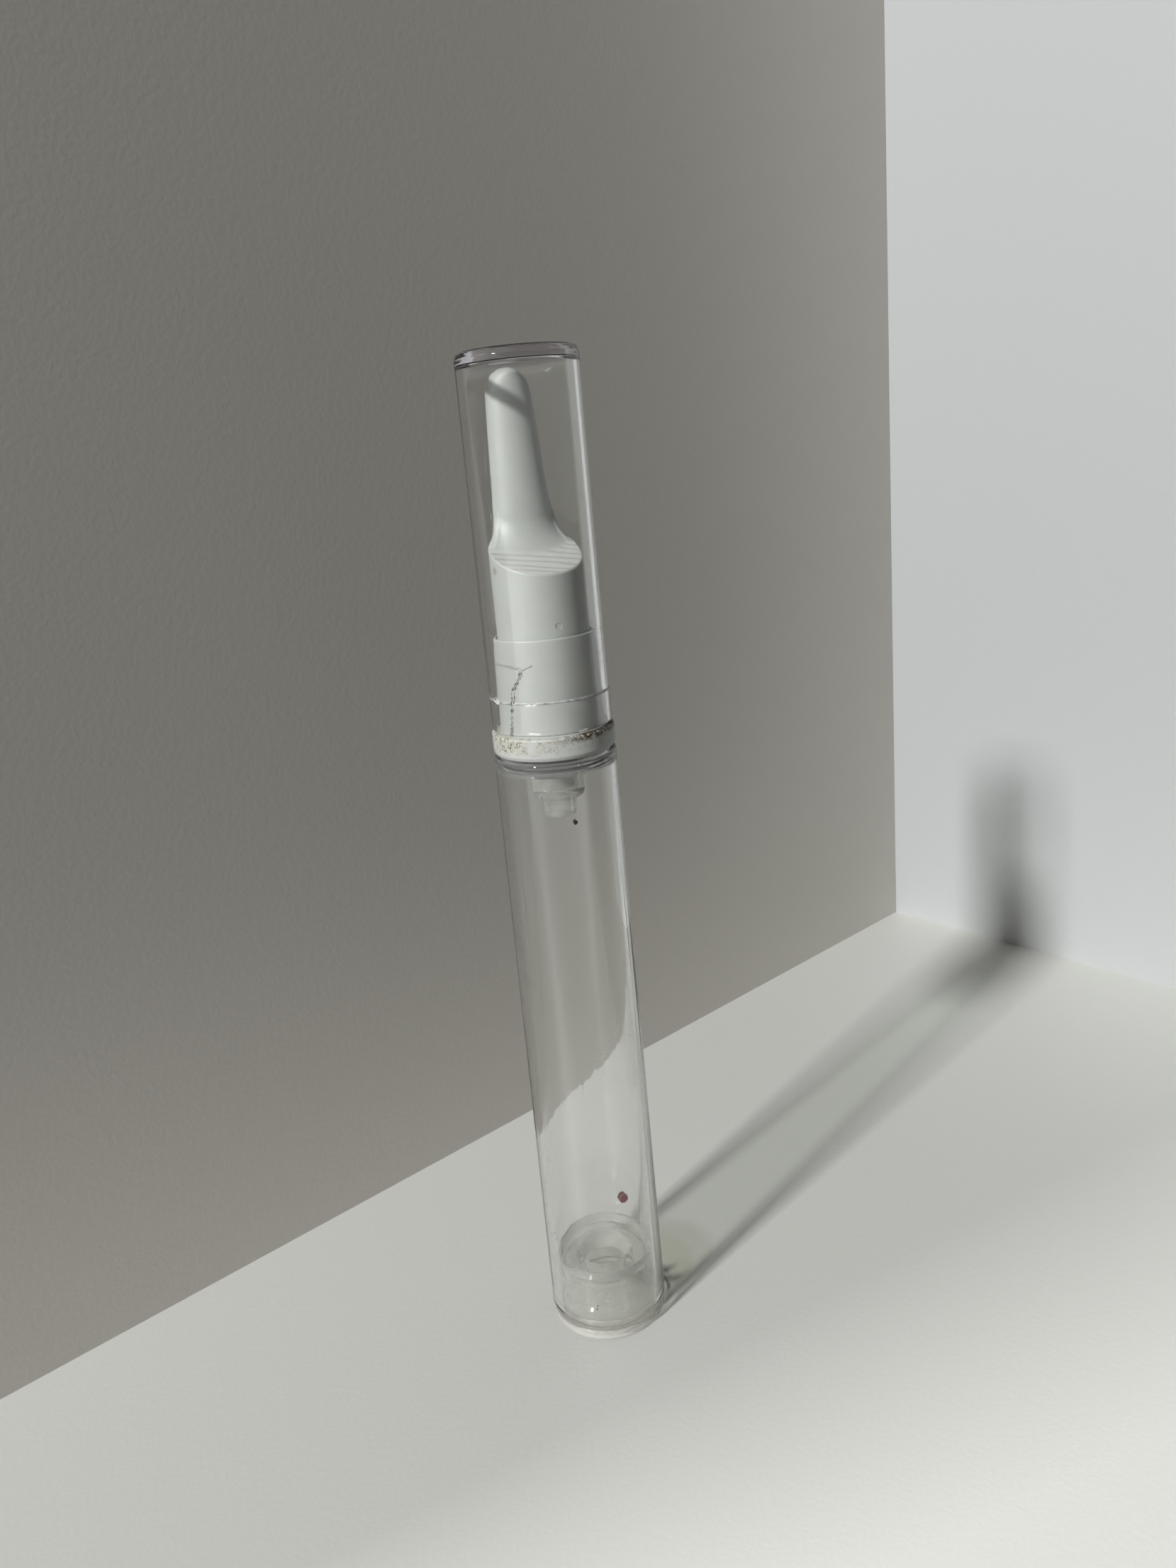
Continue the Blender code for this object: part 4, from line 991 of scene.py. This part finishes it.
class PumpPiecesOperator(bpy.types.Operator):
    """Spins the collar, the pump's round pieces and the follower from their solids' sections"""

    bl_idname = "bottle.pump_pieces"
    bl_label = "Collar, pump and follower"

    def execute(self, context):
        steps, edge = detail().steps, detail().edge_round
        white = white_finish("satin_white")
        milky = milky_finish("milky_natural", finishes().milky, through=0.85, cloudy=0.04, ior=1.15)
        soft = milky_finish("soft_natural", finishes().soft, through=0.84, cloudy=0.08, ior=1.14)
        turned_pieces = (
            ("collar", "snap_collar", "bottle", "white_plastic", white_finish("satin_white_flange", flange_marks)),
            ("pump_housing", "pump_barrel", "bottle", "milky_plastic", milky),
            ("follower_piston", "follower", "follower", "soft_plastic", soft),
            ("neck_gasket", "neck_washer", "bottle", "soft_plastic", soft),
            ("stem_guide", "stem_bush", "bottle", "white_plastic", white),
            ("pump_stem", "stem_tube", "plunger", "white_plastic", white),
            ("piston_rod", "rod", "plunger", "white_plastic", white),
            ("piston_seal", "wiper", "seal", "soft_plastic", soft),
            ("inlet_valve", "valve_disc", "valve", "soft_plastic", soft),
        )
        for node, name, body, slot, material in turned_pieces:
            finished(turned_from(node, name, steps, edge / 2), body, material, node)
        return {"FINISHED"}


class HeadOperator(bpy.types.Operator):
    """Draws the shank with its slanted face and raises the rounded blade from it"""

    bl_idname = "bottle.head"
    bl_label = "Spatula head"

    def execute(self, context):
        deselect()
        bpy.ops.mesh.primitive_circle_add(
            vertices=detail().steps, radius=SHANK_RADIUS, fill_type="NOTHING", location=(0, 0, HEAD_BOTTOM),
        )
        piece = context.active_object
        piece.name = "spatula_head"
        piece.data.transform(Matrix.Translation((0, 0, HEAD_BOTTOM)))
        piece.location = (0, 0, 0)
        edit(piece)
        note_directions(piece)
        bpy.ops.mesh.select_all(action="SELECT")
        for rule in head_rings():
            extrude_ring(piece, rule)
        bpy.ops.mesh.edge_face_add()
        choose(piece, lambda point: point.co.z < HEAD_BOTTOM + TOLERANCE)
        bpy.ops.mesh.edge_face_add()
        close_and_turn_out(piece)
        hollow(piece)
        material = white_finish("satin_white_head", head_marks)
        finished(piece, "head", material, "applicator_head", straight_walls=False)
        return {"FINISHED"}


def hollow(piece):
    """Cuts the shank's hollow round its socket, the socket's bore and the product's way out, as in the solid."""
    around = round_cutter("hollow", SHANK_RADIUS - SHANK_WALL, HEAD_BOTTOM - 0.001, HEAD_BOTTOM + CAVITY_HEIGHT)
    subtract(around, round_cutter("socket", SOCKET_RADIUS, SOCKET_BOTTOM, SOCKET_BOTTOM + 0.01))
    subtract(piece, around)
    subtract(piece, round_cutter("bore", SOCKET_BORE_RADIUS, SOCKET_BOTTOM - 0.0005, SOCKET_BOTTOM + SOCKET_DEPTH))
    foot, head_length = cut_height(BLADE_OFFSETS[0]), HEAD_TOP - HEAD_BOTTOM
    outlet = head_length - OUTLET_BELOW_TIP
    leaning = between(BLADE_OFFSETS, (outlet - foot) / (head_length - foot))
    route = (
        Vector((0, 0, SOCKET_BOTTOM + SOCKET_DEPTH - OUTLET_RADIUS - HEAD_BOTTOM)), Vector((0, BLADE_OFFSETS[0], foot)),
        Vector((0, leaning, outlet)), Vector((0, leaning + SHANK_TOP_RADIUS, outlet)),
    )
    turn = Matrix.Rotation(HEAD_TURN, 3, "Z")
    route = [turn @ place + Vector((0, 0, HEAD_BOTTOM)) for place in route]
    for first, last in zip(route, route[1:]):
        leg = last - first
        half = leg.length / 2 + LEG_OVERLAP
        cutter = round_cutter("channel", OUTLET_RADIUS, -half, half, sides=24)
        cutter.data.transform(Matrix.Translation((first + last) / 2) @ leg.to_track_quat("Z", "Y").to_matrix().to_4x4())
        subtract(piece, cutter)


def round_cutter(name, radius, low, high, sides=96):
    deselect()
    middle = (0, 0, (low + high) / 2)
    bpy.ops.mesh.primitive_cylinder_add(vertices=sides, radius=radius, depth=high - low, location=middle)
    cutter = bpy.context.active_object
    cutter.name = name
    return cutter


def subtract(piece, cutter):
    select_only(piece)
    modifier = piece.modifiers.new("cut", "BOOLEAN")
    modifier.operation = "DIFFERENCE"
    modifier.object = cutter
    bpy.ops.object.modifier_apply(modifier=modifier.name)
    bpy.data.objects.remove(cutter)


class SpringOperator(bpy.types.Operator):
    """Winds the return spring from a round wire"""

    bl_idname = "bottle.spring"
    bl_label = "Return spring"

    def execute(self, context):
        deselect()
        bpy.ops.mesh.primitive_circle_add(vertices=16, radius=WIRE_RADIUS, fill_type="NGON", location=(0, 0, 0))
        piece = context.active_object
        piece.name = "return_coil"
        start = Matrix.Translation((COIL_RADIUS, 0, SPRING_BOTTOM + WIRE_RADIUS))
        piece.data.transform(start @ Matrix.Rotation(math.pi / 2, 4, "X"))
        piece.location = (0, 0, 0)
        screw = piece.modifiers.new("wind", "SCREW")
        screw.axis = "Z"
        screw.angle = math.tau * SPRING_TURNS
        screw.screw_offset = SPRING_TOP - SPRING_BOTTOM - 2 * WIRE_RADIUS
        screw.steps = screw.render_steps = round(36 * SPRING_TURNS)
        screw.use_smooth_shade = True
        bpy.ops.object.modifier_apply(modifier=screw.name)
        edit(piece)
        bpy.ops.mesh.select_all(action="SELECT")
        bpy.ops.mesh.fill_holes(sides=0)
        close_and_turn_out(piece)
        wire = wire_finish("drawn_wire")
        finished(piece, "bottle", wire, "return_spring", sharp=50, straight_walls=False)
        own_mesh(piece)
        return {"FINISHED"}


class BottlePanel(bpy.types.Panel):
    """The bottle's colours, wear, steps and stage in the sidebar"""

    bl_idname = "VIEW3D_PT_bottle"
    bl_label = "Airless pump bottle"
    bl_space_type = "VIEW_3D"
    bl_region_type = "UI"
    bl_category = "Bottle"

    def draw(self, context):
        layout = self.layout
        for group in (context.scene.bottle_finishes, context.scene.bottle_detail, context.scene.bottle_stage):
            box = layout.box()
            for name in group.bl_rna.properties.keys():
                if name not in ("rna_type", "name"):
                    box.prop(group, name)
        for operator in OPERATORS:
            layout.operator(operator.bl_idname)


OPERATORS = (StageOperator, ClearPiecesOperator, PumpPiecesOperator, HeadOperator, SpringOperator)
GROUPS = (BottleFinishes, BottleDetail, StageSettings)


def register():
    for thing in (*GROUPS, *OPERATORS, BottlePanel):
        bpy.utils.register_class(thing)
    bpy.types.Scene.bottle_finishes = bpy.props.PointerProperty(type=BottleFinishes)
    bpy.types.Scene.bottle_detail = bpy.props.PointerProperty(type=BottleDetail)
    bpy.types.Scene.bottle_stage = bpy.props.PointerProperty(type=StageSettings)


def unregister():
    del bpy.types.Scene.bottle_finishes
    del bpy.types.Scene.bottle_detail
    del bpy.types.Scene.bottle_stage
    for thing in reversed((*GROUPS, *OPERATORS, BottlePanel)):
        bpy.utils.unregister_class(thing)


def main():
    register()
    bottle = bpy.ops.bottle
    for step in (bottle.stage, bottle.clear_pieces, bottle.pump_pieces, bottle.head, bottle.spring):
        if step() != {"FINISHED"}:
            raise RuntimeError("a step of the bottle didn't finish")


if __name__ == "__main__":
    main()
